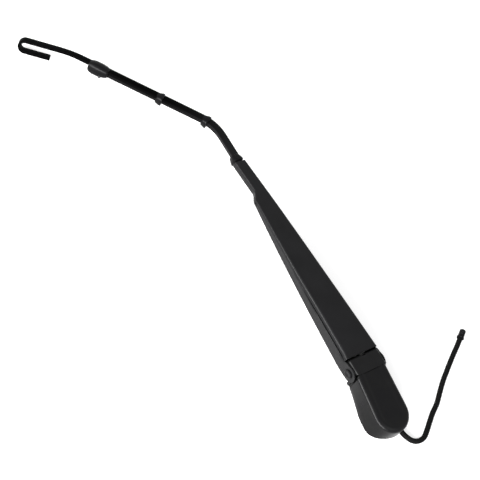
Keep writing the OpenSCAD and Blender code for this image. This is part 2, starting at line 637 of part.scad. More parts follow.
// Free hose from the head to its connector
hose_free_points = [[20, lane_y, duct_z], [14, lane_y, duct_z - 0.2], [7, -13.4, 8], [0, -13.4, 5.8], [-6, -13.1, 4],
    [-11, -12.3, 3.1], [-17, -11, 2.9], [-23, -12.4, 2.8], [-29, -16, 2.8], [-32, -22, 2.8], [-31.5, -29, 2.8],
    [-27.5, -35.5, 2.8], [-22, -43, 2.8], [-15.5, -52, 2.8], [-9.5, -62, 2.8], [-1.5, -72, 2.8], [6.4, -82, 2.8],
    [13.2, -92, 2.8], [19.8, -102, 2.8], [26.2, -112, 3], [31.8, -121, 3.5], [36.6, -128, 4.1]];
hose_end = hose_free_points[len(hose_free_points) - 1];
module at_hose_end() { translate(hose_end) rotate([0, 85.7, -55]) translate([0, 0, 0.06]) children(); }
module hose_free() { color(rubber) tube(hose_free_points, hose_r, 10, 2); }

module head_grommet() {
    w = notch_w - 0.1;
    color(nylon) difference() {
        intersection() {
            translate([-30, notch_y - w / 2, 0.3]) cube([22.9, w, notch_z - 0.4]);
            difference() {
                translate([0, cover_dy, 0]) cylinder(r = cover_r + 0.5, h = 20);
                translate([0, cover_dy, -1]) cylinder(r = cover_r - cover_wall - 0.3, h = 30);
            }
        }
        tube(hose_free_points, hose_r + 0.05, 10, 2);
    }
}

module hose_connector() {
    color(nylon) at_hose_end() difference() {
        rotate_extrude() polygon([[0, 0], [3.2, 0], [3.2, 0.8], [3.8, 0.8], [3.8, 2.4], [3.2, 2.4], [3.2, 10],
            [2.7, 10.6], [0, 10.6]]);
        translate([0, 0, -1]) cylinder(r = 0.8, h = 30);
        translate([0, 0, 4]) cylinder(r = 1.8, h = 30);
    }
}

module connector_seal() {
    color(rubber) at_hose_end() translate([0, 0, 4]) difference() {
        cylinder(r = 1.8, h = 3.4);
        translate([0, 0, -1]) cylinder(r = 1, h = 10);
    }
}

head_casting();
nut_cover();
hinge_pin_left();
hinge_pin_right();
hinge_bush_left();
hinge_bush_right();
anchor_pin();
spring_link();
tension_spring();
spring_rivet();
channel();
wiper_bar();
bar_rivets();
hose_clip_inner();
hose_arm();
hose_hinge();
neck_grommet();
bar_clip_one();
bar_clip_two();
nozzle_body();
nozzle_lid();
nozzle_insert();
head_grommet();
hose_free();
hose_connector();
connector_seal();
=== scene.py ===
"""Looks of a wiper arm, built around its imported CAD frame.

The frame gives the CAD nodes and the bodies. This script models the visible pieces over them, gives
them procedural finishes, and sets the floor, the light and the camera. Lengths are in millimetres
until they go into a mesh, which is in metres.
"""

import logging
import math
from dataclasses import dataclass
from enum import Enum
from typing import Iterable, Sequence

import bmesh
import bpy
import numpy as np
from mathutils import Matrix, Vector

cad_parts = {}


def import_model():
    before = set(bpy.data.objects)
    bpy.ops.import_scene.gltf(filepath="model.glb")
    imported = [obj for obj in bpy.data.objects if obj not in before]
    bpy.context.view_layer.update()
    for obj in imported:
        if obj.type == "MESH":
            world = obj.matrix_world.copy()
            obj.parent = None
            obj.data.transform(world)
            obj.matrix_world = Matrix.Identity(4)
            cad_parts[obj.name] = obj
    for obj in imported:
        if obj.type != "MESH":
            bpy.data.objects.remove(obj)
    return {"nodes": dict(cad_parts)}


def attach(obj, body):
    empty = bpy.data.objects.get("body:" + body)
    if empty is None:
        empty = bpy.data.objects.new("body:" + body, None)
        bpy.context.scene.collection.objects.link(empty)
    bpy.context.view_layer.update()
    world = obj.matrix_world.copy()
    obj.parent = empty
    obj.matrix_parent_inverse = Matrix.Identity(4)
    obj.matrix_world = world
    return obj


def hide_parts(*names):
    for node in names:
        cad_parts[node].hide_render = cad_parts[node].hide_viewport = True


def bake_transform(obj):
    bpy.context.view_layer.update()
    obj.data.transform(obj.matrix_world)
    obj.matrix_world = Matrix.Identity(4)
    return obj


LOG = logging.getLogger("wiper_arm")
MM = 0.001
# The arm's middle plane, its hinge as (x, z) and the nut cover's hinge as (x, z)
ARM_Y = -4.0
HINGE = (49.5, 17.5)
COVER_HINGE = (39.5, 22.7)
# Vertices nearer than this, in metres, are one
WELD = 1e-6

Piece = bpy.types.Object
Tree = bpy.types.NodeTree
Socket = bpy.types.NodeSocket
Point = tuple[float, float, float]
# A turned body's (distance along its axis, radius) for each of its rings
Profile = Sequence[tuple[float, float]]
# A wrapped moulding's (distance, growth in width, growth in height, lift) for each of its rings
Stops = Sequence[tuple[float, float, float, float]]
# Place, direction, side and up of a section
Frame = tuple[np.ndarray, np.ndarray, np.ndarray, np.ndarray]

# The CAD nodes by name, which main() fills
NODES: dict[str, Piece] = {}


class Side(Enum):
    """The two sides of the arm, as the sign of the part's Y."""

    LEFT = 1
    RIGHT = -1


class Half(Enum):
    """How much of a wrapped moulding is modelled, as the sign of its up direction."""

    UPPER = 1
    LOWER = -1
    BOTH = 0


# ---------------------------------------------------------------- small maths


def ramp(v: float, a: float, b: float) -> float:
    """Returns how far v has gone from a to b, from 0 to 1."""
    return min(1.0, max(0.0, (v - a) / (b - a)))


def ease(k: float) -> float:
    """Returns a share k with a soft start and a soft end."""
    return k * k * (3 - 2 * k)


def mix(a: float, b: float, k: float) -> float:
    """Returns the value a share k of the way from a to b."""
    return a + (b - a) * k


def unit(v: np.ndarray) -> np.ndarray:
    """Returns v at length 1."""
    return v / np.linalg.norm(v)


def round_angles(sides: int) -> np.ndarray:
    """Returns the angles of evenly spread points on a circle."""
    return 2 * np.pi * np.arange(sides) / sides


def spline(points: Sequence[Sequence[float]], steps: int) -> np.ndarray:
    """Returns a smooth line through the points.

    Args:
        points: the chosen points.
        steps: how many stretches each span is cut into.

    Returns:
        The points of the line, one row each.
    """
    p = np.array(points, float)
    out = []
    for i in range(len(p) - 1):
        a, b, c, d = p[max(i - 1, 0)], p[i], p[i + 1], p[min(i + 2, len(p) - 1)]
        for k in np.arange(steps) / steps:
            square, cube = 2 * a - 5 * b + 4 * c - d, 3 * b - a - 3 * c + d
            out.append(0.5 * (2 * b + (c - a) * k + square * k**2 + cube * k**3))
    return np.array(out + [p[-1]])


def evenly(line: np.ndarray, count: int) -> np.ndarray:
    """Returns count points spread evenly along a line.

    Args:
        line: the line's points, one row each.
        count: how many points are returned.

    Returns:
        The new points, one row each.
    """
    run = np.concatenate([[0], np.cumsum(np.linalg.norm(np.diff(line, axis=0), axis=1))])
    at = np.linspace(0, run[-1], count)
    return np.stack([np.interp(at, run, line[:, k]) for k in range(3)], 1)


def superellipse(width: float, height: float, sides: int, power: float) -> np.ndarray:
    """Returns the outline of a rounded rectangle.

    Args:
        width: its full width.
        height: its full height.
        sides: how many points it has.
        power: 2 for an ellipse, and more for a squarer outline.

    Returns:
        The points as (sideways, up), one row each.
    """
    a = round_angles(sides)
    halves = []
    for wave, size in ((np.cos(a), width), (np.sin(a), height)):
        halves.append(np.sign(wave) * np.abs(wave) ** (2 / power) * size / 2)
    return np.stack(halves, 1)


# ---------------------------------------------------------------- work on meshes


def only(obj: Piece) -> None:
    """Makes an object the one selected and active object.

    Args:
        obj: the object.
    """
    bpy.ops.object.select_all(action="DESELECT")
    obj.hide_set(False)
    obj.select_set(True)
    bpy.context.view_layer.objects.active = obj


def new_object(name: str, data: bpy.types.ID) -> Piece:
    """Puts data into the scene as an object.

    Args:
        name: the object's name.
        data: its mesh, curve, light or camera.

    Returns:
        The object.
    """
    obj = bpy.data.objects.new(name, data)
    bpy.context.scene.collection.objects.link(obj)
    return obj


def name_piece(obj: Piece, name: str) -> Piece:
    """Gives a piece and its mesh their name."""
    obj.name = obj.data.name = name
    return obj


def weld(obj: Piece, distance: float, outwards: bool = False) -> None:
    """Makes close vertices one, and turns the faces outwards if asked.

    Args:
        obj: the piece.
        distance: how near vertices become one, in metres.
        outwards: whether the faces of a closed mesh are turned outwards.
    """
    only(obj)
    bpy.ops.object.mode_set(mode="EDIT")
    bpy.ops.mesh.select_all(action="SELECT")
    bpy.ops.mesh.remove_doubles(threshold=distance)
    if outwards:
        bpy.ops.mesh.normals_make_consistent(inside=False)
    bpy.ops.object.mode_set(mode="OBJECT")


def settle(obj: Piece, name: str, angle: float = 32.0, outwards: bool = True) -> Piece:
    """Finishes a mesh: its place goes into the mesh and its curved faces shade smooth.

    Args:
        obj: the piece.
        name: the piece's name.
        angle: the sharpest turn in degrees that still shades smooth.
        outwards: whether the faces of a closed mesh are turned outwards.

    Returns:
        The same piece.
    """
    only(obj)
    bpy.ops.object.transform_apply(location=True, rotation=True, scale=True)
    weld(obj, WELD, outwards)
    bpy.ops.object.shade_smooth_by_angle(angle=math.radians(angle))
    return name_piece(obj, name)


def modify(obj: Piece, kind: str, **settings: object) -> None:
    """Adds a modifier with its settings and applies it.

    Args:
        obj: the piece.
        kind: the modifier's type.
        settings: the modifier's settings by name.
    """
    only(obj)
    mod = obj.modifiers.new(kind.lower(), kind)
    for key, value in settings.items():
        setattr(mod, key, value)
    bpy.ops.object.modifier_apply(modifier=mod.name)


def bevel_edges(
    obj: Piece, width: float, segments: int, angle: float = 40.0, behind: float | None = None
) -> None:
    """Rounds a piece's sharp edges.

    Args:
        obj: the piece.
        width: the rounding's size.
        segments: steps of the rounding.
        angle: edges that turn by more than these degrees are rounded.
        behind: if given, only edges past this X are rounded.
    """
    if behind is not None:
        bm = bmesh.new()
        bm.from_mesh(obj.data)
        weight = bm.edges.layers.float.new("bevel_weight_edge")
        for edge in bm.edges:
            sharp = len(edge.link_faces) == 2 and edge.calc_face_angle() > math.radians(angle)
            edge[weight] = float(sharp and all(v.co.x > behind * MM for v in edge.verts))
        bm.to_mesh(obj.data)
        bm.free()
    modify(
        obj,
        "BEVEL",
        width=width * MM,
        segments=segments,
        limit_method="ANGLE" if behind is None else "WEIGHT",
        angle_limit=math.radians(angle),
        use_clamp_overlap=True,
    )


def swept(name: str, rings: Sequence[np.ndarray], angle: float = 40.0) -> Piece:
    """Models a closed form that runs through rings of points.

    A cylinder is cut into as many rings as the form has, and each ring goes to its place.

    Args:
        name: the piece's name.
        rings: three or more rings, each with the same number of points.
        angle: the sharpest turn in degrees that shades smooth.

    Returns:
        The piece.
    """
    sides, count = len(rings[0]), len(rings)
    bpy.ops.mesh.primitive_cylinder_add(vertices=sides, radius=1, depth=1, end_fill_type="NGON")
    obj = bpy.context.object
    bpy.ops.object.mode_set(mode="EDIT")
    bpy.ops.mesh.select_mode(type="EDGE")
    bpy.ops.mesh.select_all(action="DESELECT")
    bm = bmesh.from_edit_mesh(obj.data)
    for edge in bm.edges:
        edge.select = abs(edge.verts[0].co.z - edge.verts[1].co.z) > 0.5
    bmesh.update_edit_mesh(obj.data)
    bpy.ops.mesh.subdivide(number_cuts=count - 2)
    bpy.ops.mesh.select_mode(type="VERT")
    bpy.ops.object.mode_set(mode="OBJECT")
    table = np.array(rings, float) * MM
    for v in obj.data.vertices:
        ring = round((v.co.z + 0.5) * (count - 1))
        side = round(math.atan2(v.co.y, v.co.x) / (2 * math.pi) * sides) % sides
        v.co = table[ring, side]
    obj.data.update()
    return settle(obj, name, angle)


def turned(
    name: str, steps: Profile, place: Matrix, sides: int = 48, angle: float = 30.0
) -> Piece:
    """Models a body of revolution.

    Args:
        name: the piece's name.
        steps: its profile.
        place: turns and moves the axis from +Z at the origin to its place.
        sides: faces round the axis.
        angle: the sharpest turn in degrees that shades smooth.

    Returns:
        The piece.
    """
    rings = []
    for height, radius in steps:
        ring = [(radius * math.cos(a), radius * math.sin(a), height) for a in round_angles(sides)]
        rings.append(np.array([place @ Vector(point) for point in ring]))
    return swept(name, rings, angle)


def wire(name: str, line: np.ndarray, radius: float) -> Piece:
    """Models a round wire along a line, as a curve that is made into a mesh.

    Args:
        name: the piece's name.
        line: the wire's middle line, one row for each point.
        radius: the wire's radius.

    Returns:
        The piece.
    """
    data = bpy.data.curves.new(name, "CURVE")
    data.dimensions = "3D"
    data.bevel_depth = radius * MM
    data.bevel_resolution = 1
    data.use_fill_caps = True
    run = data.splines.new("POLY")
    run.points.add(len(line) - 1)
    run.points.foreach_set("co", np.concatenate([line * MM, np.ones((len(line), 1))], 1).ravel())
    only(new_object(name, data))
    bpy.ops.object.convert(target="MESH")
    return settle(bpy.context.object, name, 40)


def from_node(node: str, name: str) -> Piece:
    """Copies a CAD node as a new piece with its loose triangles joined.

    Args:
        node: the CAD node.
        name: the new piece's name.

    Returns:
        The piece.
    """
    obj = new_object(name, NODES[node].data.copy())
    obj.data.materials.clear()
    if "custom_normal" in obj.data.attributes:
        obj.data.attributes.remove(obj.data.attributes["custom_normal"])
    weld(obj, 2 * WELD)
    return settle(obj, name, 34, outwards=False)


def join(name: str, pieces: Sequence[Piece]) -> Piece:
    """Joins pieces into one under a name.

    Args:
        name: the name of the whole.
        pieces: the pieces, of which the first stays.

    Returns:
        The whole.
    """
    only(pieces[0])
    for piece in pieces:
        piece.select_set(True)
    bpy.ops.object.join()
    return name_piece(bpy.context.object, name)


def cut_with(obj: Piece, tool: Piece) -> None:
    """Takes a tool's shape out of a piece and removes the tool."""
    modify(obj, "BOOLEAN", object=tool, operation="DIFFERENCE", solver="EXACT")
    bpy.data.objects.remove(tool)


def box(low: Point, high: Point, round_off: float = 0.0, steps: int = 5) -> Piece:
    """Models a box between two corners.

    Args:
        low: the corner with the lowest X, Y and Z.
        high: the opposite corner.
        round_off: rounding of its edges, or 0 for none.
        steps: steps of that rounding.

    Returns:
        The box.
    """
    middle = [(a + b) / 2 * MM for a, b in zip(low, high)]
    size = [(b - a) * MM for a, b in zip(low, high)]
    bpy.ops.mesh.primitive_cube_add(size=1, location=middle, scale=size)
    obj = bpy.context.object
    if round_off:
        bpy.ops.object.transform_apply(location=True, rotation=True, scale=True)
        bevel_edges(obj, round_off, steps)
    return obj


# ---------------------------------------------------------------- ties to the frame


def finish_piece(
    obj: Piece, body: str, material: bpy.types.Material, nodes: Iterable[str] = ()
) -> None:
    """Dresses a piece and ties it to the CAD frame.

    Args:
        obj: the piece.
        body: the CAD body it moves with.
        material: its finish.
        nodes: the CAD nodes that it stands for.
    """
    obj.data.materials.clear()
    obj.data.materials.append(material)
    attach(obj, body)
    if nodes:
        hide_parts(*nodes)
    LOG.info("%s on %s: %d faces", obj.name, body, len(obj.data.polygons))


def dress(node: str, material: bpy.types.Material) -> None:
    """Gives a CAD node that keeps its shape its finish.

    Args:
        node: the CAD node.
        material: its finish.
    """
    obj = NODES[node]
    obj.data.materials.clear()
    obj.data.materials.append(material)
    LOG.info("%s dressed", node)


# ---------------------------------------------------------------- finishes

# Noise values between which the tone and the gloss change
TONE_SPAN = (0.32, 0.7)
GLOSS_SPAN = (0.3, 0.7)
# Height of the grain, the tone of the painted shade laid into crevices, and the share of open air
# where that painted shade ends
GRAIN_DEPTH = 0.08
PAINTED_SHADE_TONE = "#040404"
PAINTED_SHADE_END = 0.9


def linear(code: str) -> tuple[float, float, float, float]:
    """Turns an sRGB hex colour into linear light with full cover."""
    parts = [int(code[i : i + 2], 16) / 255 for i in (1, 3, 5)]
    return (*[c / 12.92 if c <= 0.04045 else ((c + 0.055) / 1.055) ** 2.4 for c in parts], 1.0)


def add(tree: Tree, kind: str, links: dict | None = None, **settings: object) -> bpy.types.Node:
    """Adds a shader node.

    Args:
        tree: the nodes of a material or world.
        kind: the node's type.
        links: input name or number to the output socket that feeds it.
        settings: node settings, or input values by name with spaces as underscores.

    Returns:
        The node.
    """
    node = tree.nodes.new(kind)
    for key, value in settings.items():
        if hasattr(node, key):
            setattr(node, key, value)
        else:
            node.inputs[key.replace("_", " ")].default_value = value
    for key, out in (links or {}).items():
        tree.links.new(out, node.inputs[key])
    return node


def blank_tree(owner: bpy.types.ID) -> Tree:
    """Empties the node tree of a material or world.

    Args:
        owner: the material or world.

    Returns:
        Its nodes.
    """
    owner.use_nodes = True
    owner.node_tree.nodes.clear()
    return owner.node_tree


@dataclass(frozen=True)
class Finish:
    """One surface finish: two tones in soft patches, a fine grain, gloss that varies, and painted
    shade that darkens colour and sheen near other surfaces.

    Attributes:
        name: the real material.
        dark: the darker tone as an sRGB hex code.
        light: the lighter tone.
        rough: the middle roughness.
        rough_spread: how far the roughness goes to either side.
        grain_mm: size of the grain.
        grain_height: strength of the grain in the surface's height.
        cloud_mm: size of the patches of tone.
        metallic: 1 for bare metal and 0 for the rest.
        specular: specular level of what isn't bare metal.
        painted_shade_mm: how near another surface has to be for painted shade to darken this one.
        painted_shade_low: the share of open air at which that painted shade is fully dark.
        painted_shade_along_x_mm: where along X painted shade starts and ends to darken the colour
            and sheen, and the share that stays.
    """

    name: str
    dark: str
    light: str
    rough: float
    rough_spread: float
    grain_mm: float
    grain_height: float
    cloud_mm: float = 14.0
    metallic: float = 0.0
    specular: float = 0.5
    painted_shade_mm: float = 1.0
    painted_shade_low: float = 0.3
    painted_shade_along_x_mm: tuple[float, float, float] = (0.0, 0.0, 1.0)

    def unshaded_share(self, tree: Tree, place: Socket) -> Socket:
        """Returns the share of colour and sheen that painted shade leaves, which is less near other
        surfaces and along X past where the shade starts.

        Args:
            tree: the material's nodes.
            place: the place on the surface.

        Returns:
            A share from 0 to 1.
        """
        # Painted shade: ambient occlusion darkens the surface near other surfaces
        hidden = add(tree, "ShaderNodeAmbientOcclusion", samples=6, Distance=self.painted_shade_mm * MM)
        span = {"From_Min": self.painted_shade_low, "From_Max": PAINTED_SHADE_END}
        share = add(tree, "ShaderNodeMapRange", {"Value": hidden.outputs["AO"]}, **span).outputs[0]
        start, end, stays = self.painted_shade_along_x_mm
        if end <= start:
            return share
        # Painted shade along X, which darkens the colour and sheen past its start
        along = add(tree, "ShaderNodeSeparateXYZ", {0: place}).outputs[0]
        span = {"From_Min": start * MM, "From_Max": end * MM, "To_Min": 1.0, "To_Max": stays}
        fade = add(tree, "ShaderNodeMapRange", {"Value": along}, **span).outputs[0]
        return add(tree, "ShaderNodeMath", {0: share, 1: fade}, operation="MULTIPLY").outputs[0]

    def build(self) -> bpy.types.Material:
        """Makes the material when it is first asked for.

        Returns:
            The material.
        """
        made = bpy.data.materials.get(self.name)
        if made:
            return made
        mat = bpy.data.materials.new(self.name)
        t = blank_tree(mat)
        place = add(t, "ShaderNodeTexCoord").outputs["Object"]
        noises = []
        for size, detail, rough in ((self.cloud_mm, 3.0, 0.55), (self.grain_mm, 2.0, 0.6)):
            scale = {"Scale": 1 / (size * MM), "Detail": detail, "Roughness": rough}
            noises.append(add(t, "ShaderNodeTexNoise", {"Vector": place}, **scale).outputs["Fac"])
        cloud, grain = noises
        tone = add(t, "ShaderNodeValToRGB", {"Fac": cloud})
        stops = zip(tone.color_ramp.elements, TONE_SPAN, (self.dark, self.light))
        for element, position, code in stops:
            element.position, element.color = position, linear(code)
        unshaded_share = self.unshaded_share(t, place)
        # Painted shade: where the share is low, the colour goes to the dark shade tone
        feeds = {"Factor": unshaded_share, 7: tone.outputs["Color"]}
        shade = add(t, "ShaderNodeMix", feeds, data_type="RGBA")
        shade.inputs[6].default_value = linear(PAINTED_SHADE_TONE)
        low, high = self.rough - self.rough_spread, self.rough + self.rough_spread
        span = {"From_Min": GLOSS_SPAN[0], "From_Max": GLOSS_SPAN[1], "To_Min": low, "To_Max": high}
        gloss = add(t, "ShaderNodeMapRange", {"Value": cloud}, **span).outputs[0]
        depth = {"Strength": self.grain_height, "Distance": GRAIN_DEPTH * MM}
        bump = add(t, "ShaderNodeBump", {"Height": grain}, **depth)
        feeds = {"Base Color": shade.outputs[2], "Roughness": gloss, "Normal": bump.outputs[0]}
        shader = add(t, "ShaderNodeBsdfPrincipled", feeds, Metallic=self.metallic)
        if not self.metallic:
            # Painted shade also takes the sheen away in the same places
            sheen = add(t, "ShaderNodeMath", {0: unshaded_share}, operation="MULTIPLY")
            sheen.inputs[1].default_value = self.specular
            t.links.new(sheen.outputs[0], shader.inputs["Specular IOR Level"])
        add(t, "ShaderNodeOutputMaterial", {"Surface": shader.outputs[0]})
        return mat


# Cathodic dip paint over pressed steel: thin, even, satin, with a faint orange peel, and painted
# shade within 2.4 mm of other surfaces that darkens the crease under the fold
SHEET_PAINT = Finish(
    "satin_dip_paint_on_sheet_steel", "#0a0a0b", "#0d0d0e", 0.34, 0.05, 0.9, 0.12,
    cloud_mm=22, specular=0.13, painted_shade_mm=2.4,
)
# The same paint on the flat bar, with painted shade that darkens its colour and sheen towards the
# hook
BAR_PAINT = Finish(
    "satin_dip_paint_on_bar_steel", "#080809", "#0b0b0c", 0.34, 0.05, 0.8, 0.12,
    specular=0.1, painted_shade_along_x_mm=(300, 380, 0.05),
)
# Powder paint over a die casting: a little coarser than the dip paint, with painted shade within 5
# mm of other surfaces that darkens the gap at the hinge
CAST_PAINT = Finish(
    "satin_powder_paint_on_die_casting", "#090909", "#0c0c0d", 0.3, 0.05, 0.6, 0.16,
    specular=0.12, painted_shade_mm=5.0, painted_shade_low=0.62,
)
# Glass-filled nylon moulding of the cover, with a spark-eroded grain from its mould, and painted
# shade near other surfaces and the floor
COVER_NYLON = Finish(
    "grained_moulded_nylon", "#060607", "#080808", 0.31, 0.04, 0.45, 0.14,
    specular=0.12, painted_shade_mm=6.0, painted_shade_low=0.45,
)
# Acetal of the hose clips, connector and nozzle: smooth from a polished mould, softly waxy
CLIP_ACETAL = Finish(
    "moulded_acetal", "#070708", "#0a0a0b", 0.3, 0.05, 0.7, 0.12, specular=0.08
)
# Extruded rubber hose: matte, with a fine dry grain
HOSE_RUBBER = Finish(
    "extruded_epdm_rubber", "#0c0c0c", "#0f0f0f", 0.55, 0.06, 0.5, 0.3, specular=0.02
)
# Softer moulded rubber of the grommet and seal
GROMMET_RUBBER = Finish("moulded_rubber", "#121212", "#181818", 0.55, 0.05, 0.5, 0.25, specular=0.3)
# Zinc plate with a clear passivation: cool grey, with a soft cloudy shine, and strong painted shade
# that turns it near black within 14 mm of other surfaces
ZINC_PLATE = Finish(
    "zinc_plated_steel", "#8e9192", "#a9acab", 0.34, 0.08, 0.5, 0.15,
    cloud_mm=6, metallic=1.0, painted_shade_mm=14.0, painted_shade_low=0.82,
)
# Drawn spring wire with a film of oil: darker and smoother than the plate
SPRING_WIRE = Finish(
    "oiled_drawn_spring_steel", "#6f7070", "#8d8e8d", 0.3, 0.06, 0.35, 0.2,
    cloud_mm=5, metallic=1.0,
)
# Sintered bronze of the hinge bushes: warm, matte and porous
SINTERED_BRONZE = Finish(
    "sintered_bronze", "#8a6a3c", "#a4804a", 0.5, 0.06, 0.3, 0.4, cloud_mm=4, metallic=1.0
)
# The jet's moulding in the nozzle: a dark grey acetal
JET_ACETAL = Finish(
    "grey_moulded_acetal", "#2c2c2d", "#363637", 0.35, 0.04, 0.5, 0.1, specular=0.2
)


# ---------------------------------------------------------------- the flat bar


@dataclass
class BarLine:
    """The line that the flat bar follows from the neck to its hook."""

    channel_end: float = 291.0
    buried: float = 50.0  # length inside the channel
    neck_y: float = -1.2  # its shift to the side at the channel's end
    neck_turn: float = 3.18  # its heading in the channel, in degrees
    neck_half: float = 4.0  # half the length over which it leaves that heading
    lead: float = 50.0  # length before the first bend
    mid: float = 162.0  # length between the bends
    tail: float = 46.5  # length behind the second bend
    bend_one: float = 39.0  # degrees, as are bend_two and twist
    bend_two: float = 14.0
    bend_one_r: float = 42.0
    bend_two_half: float = 12.0
    twist: float = 22.0
    twist_from: float = 20.0  # past the first bend
    twist_to: float = 12.0  # past the second bend
    z0: float = 17.05  # height at the channel's end
    hook_z: float = 13.8
    hook_r: float = 5.8
    leg: float = 26.5  # the hook's free leg

    @property
    def length(self) -> float:
        """Length from the channel's end to the hook's round end."""
        return self.lead + self.mid + self.tail

    def heading(self, s: float) -> float:
        """Returns the bar's heading at a place.

        Args:
            s: distance past the channel's end.

        Returns:
            The heading in radians.
        """
        one, two = self.lead, self.lead + self.mid
        half = self.bend_one_r * self.bend_one * math.pi / 360
        bends = self.bend_one * ramp(s, one - half, one + half)
        bends += self.bend_two * ramp(s, two - self.bend_two_half, two + self.bend_two_half)
        return math.radians(self.neck_turn * (1 - ramp(s, -self.neck_half, self.neck_half)) + bends)

    def at(self, s: float, up: float = 0.0) -> Frame:
        """Returns the bar's frame at a place.

        Args:
            s: distance past the channel's end.
            up: shift of the place away from the glass.

        Returns:
            The place, direction, side and up of the bar.
        """
        run = s + self.buried
        steps = max(2, int(abs(run)))
        ends = np.linspace(-self.buried, s, steps + 1)
        headings = np.array([self.heading(m) for m in (ends[1:] + ends[:-1]) / 2])
        turn = math.radians(self.neck_turn)
        x = self.channel_end - self.buried * math.cos(turn)
        x += float(np.sum(np.cos(headings)) * run / steps)
        y = self.neck_y - self.buried * math.sin(turn)
        y += float(np.sum(np.sin(headings)) * run / steps)
        slope = (self.hook_z - self.z0) / self.length
        h = self.heading(s)
        t = unit(np.array([math.cos(h), math.sin(h), slope if s > 0 else 0.0]))
        level = np.array([-math.sin(h), math.cos(h), 0.0])
        twist_end = self.lead + self.mid + self.twist_to
        w = math.radians(self.twist * ramp(s, self.lead + self.twist_from, twist_end))
        u = unit(np.cross(t, level) * math.cos(w) - level * math.sin(w))
        place = np.array([x, y + ARM_Y, self.z0 + max(0.0, s) * slope])
        return place + u * up, t, np.cross(u, t), u


BAR = BarLine()


@dataclass
class Bar:
    """The flat bar with its two bends, its twist and its hook."""

    width: float = 8.6
    thick: float = 3.0
    corner: float = 0.7  # radius of its rolled edges
    hook_steps: int = 24
    swell: float = 0.1  # how much thicker it is at the hook, as a share
    swell_rings: tuple[int, int] = (34, 24)  # rings from the end where that starts and is full
    cut_end: float = 0.6  # length of the softened cut end

    def section(self) -> np.ndarray:
        """Returns the bar's outline: a flat bar with rolled edges.

        Returns:
            The points as (sideways, up), one row each.
        """
        w, h, r = self.width / 2 - self.corner, self.thick / 2 - self.corner, self.corner
        out = []
        for x, y, first in ((w, h, 0), (-w, h, 90), (-w, -h, 180), (w, -h, 270)):
            for a in np.radians(first + np.linspace(0, 90, 5)):
                out.append((x + r * math.cos(a), y + r * math.sin(a)))
        return np.array(out)

    def frames(self) -> list[Frame]:
        """Places the sections along the bar and round its hook, closer together in the bends.

        Returns:
            The frame of each section.
        """
        one, two = BAR.lead, BAR.lead + BAR.mid
        stops = [-BAR.buried, -4, -1.5, 1.5, 4]
        stops += list(np.linspace(one - 16, one + 16, 17))
        stops += list(np.linspace(one + 24, two - 14, 16))
        stops += list(np.linspace(two - 12, two + 14, 12))
        stops += [two + 28, BAR.length]
        run = [BAR.at(s) for s in stops]
        p, t, d, u = run[-1]
        centre = p - u * BAR.hook_r
        for k in range(1, self.hook_steps + 1):
            a = math.pi * k / self.hook_steps
            out = u * math.cos(a) + t * math.sin(a)
            run.append((centre + BAR.hook_r * out, unit(t * math.cos(a) - u * math.sin(a)), d, out))
        p, t, d, u = run[-1]
        run.append((p + t * (BAR.leg - self.cut_end), t, d, u))
        return run

    def build(self) -> None:
        """Models and dresses the bar."""
        section, frames = self.section(), self.frames()
        start, full = (len(frames) - k for k in self.swell_rings)
        rings = []
        for k, (p, _, d, u) in enumerate(frames):
            thick = 1 + self.swell * ramp(k, start, full)
            rings.append(p + np.outer(section[:, 0], d) + np.outer(section[:, 1] * thick, u))
        p, t, d, u = frames[-1]
        for step, wide, thick in ((0.75 * self.cut_end, 0.97, 0.95), (self.cut_end, 0.93, 0.8)):
            ring = np.outer(section[:, 0] * wide, d) + np.outer(section[:, 1] * thick, u)
            rings.append(p + t * step + ring)
        obj = swept("flat_bar_with_hook", rings, 50)
        finish_piece(obj, "arm", BAR_PAINT.build(), ["wiper_bar"])


# ---------------------------------------------------------------- the folded channel


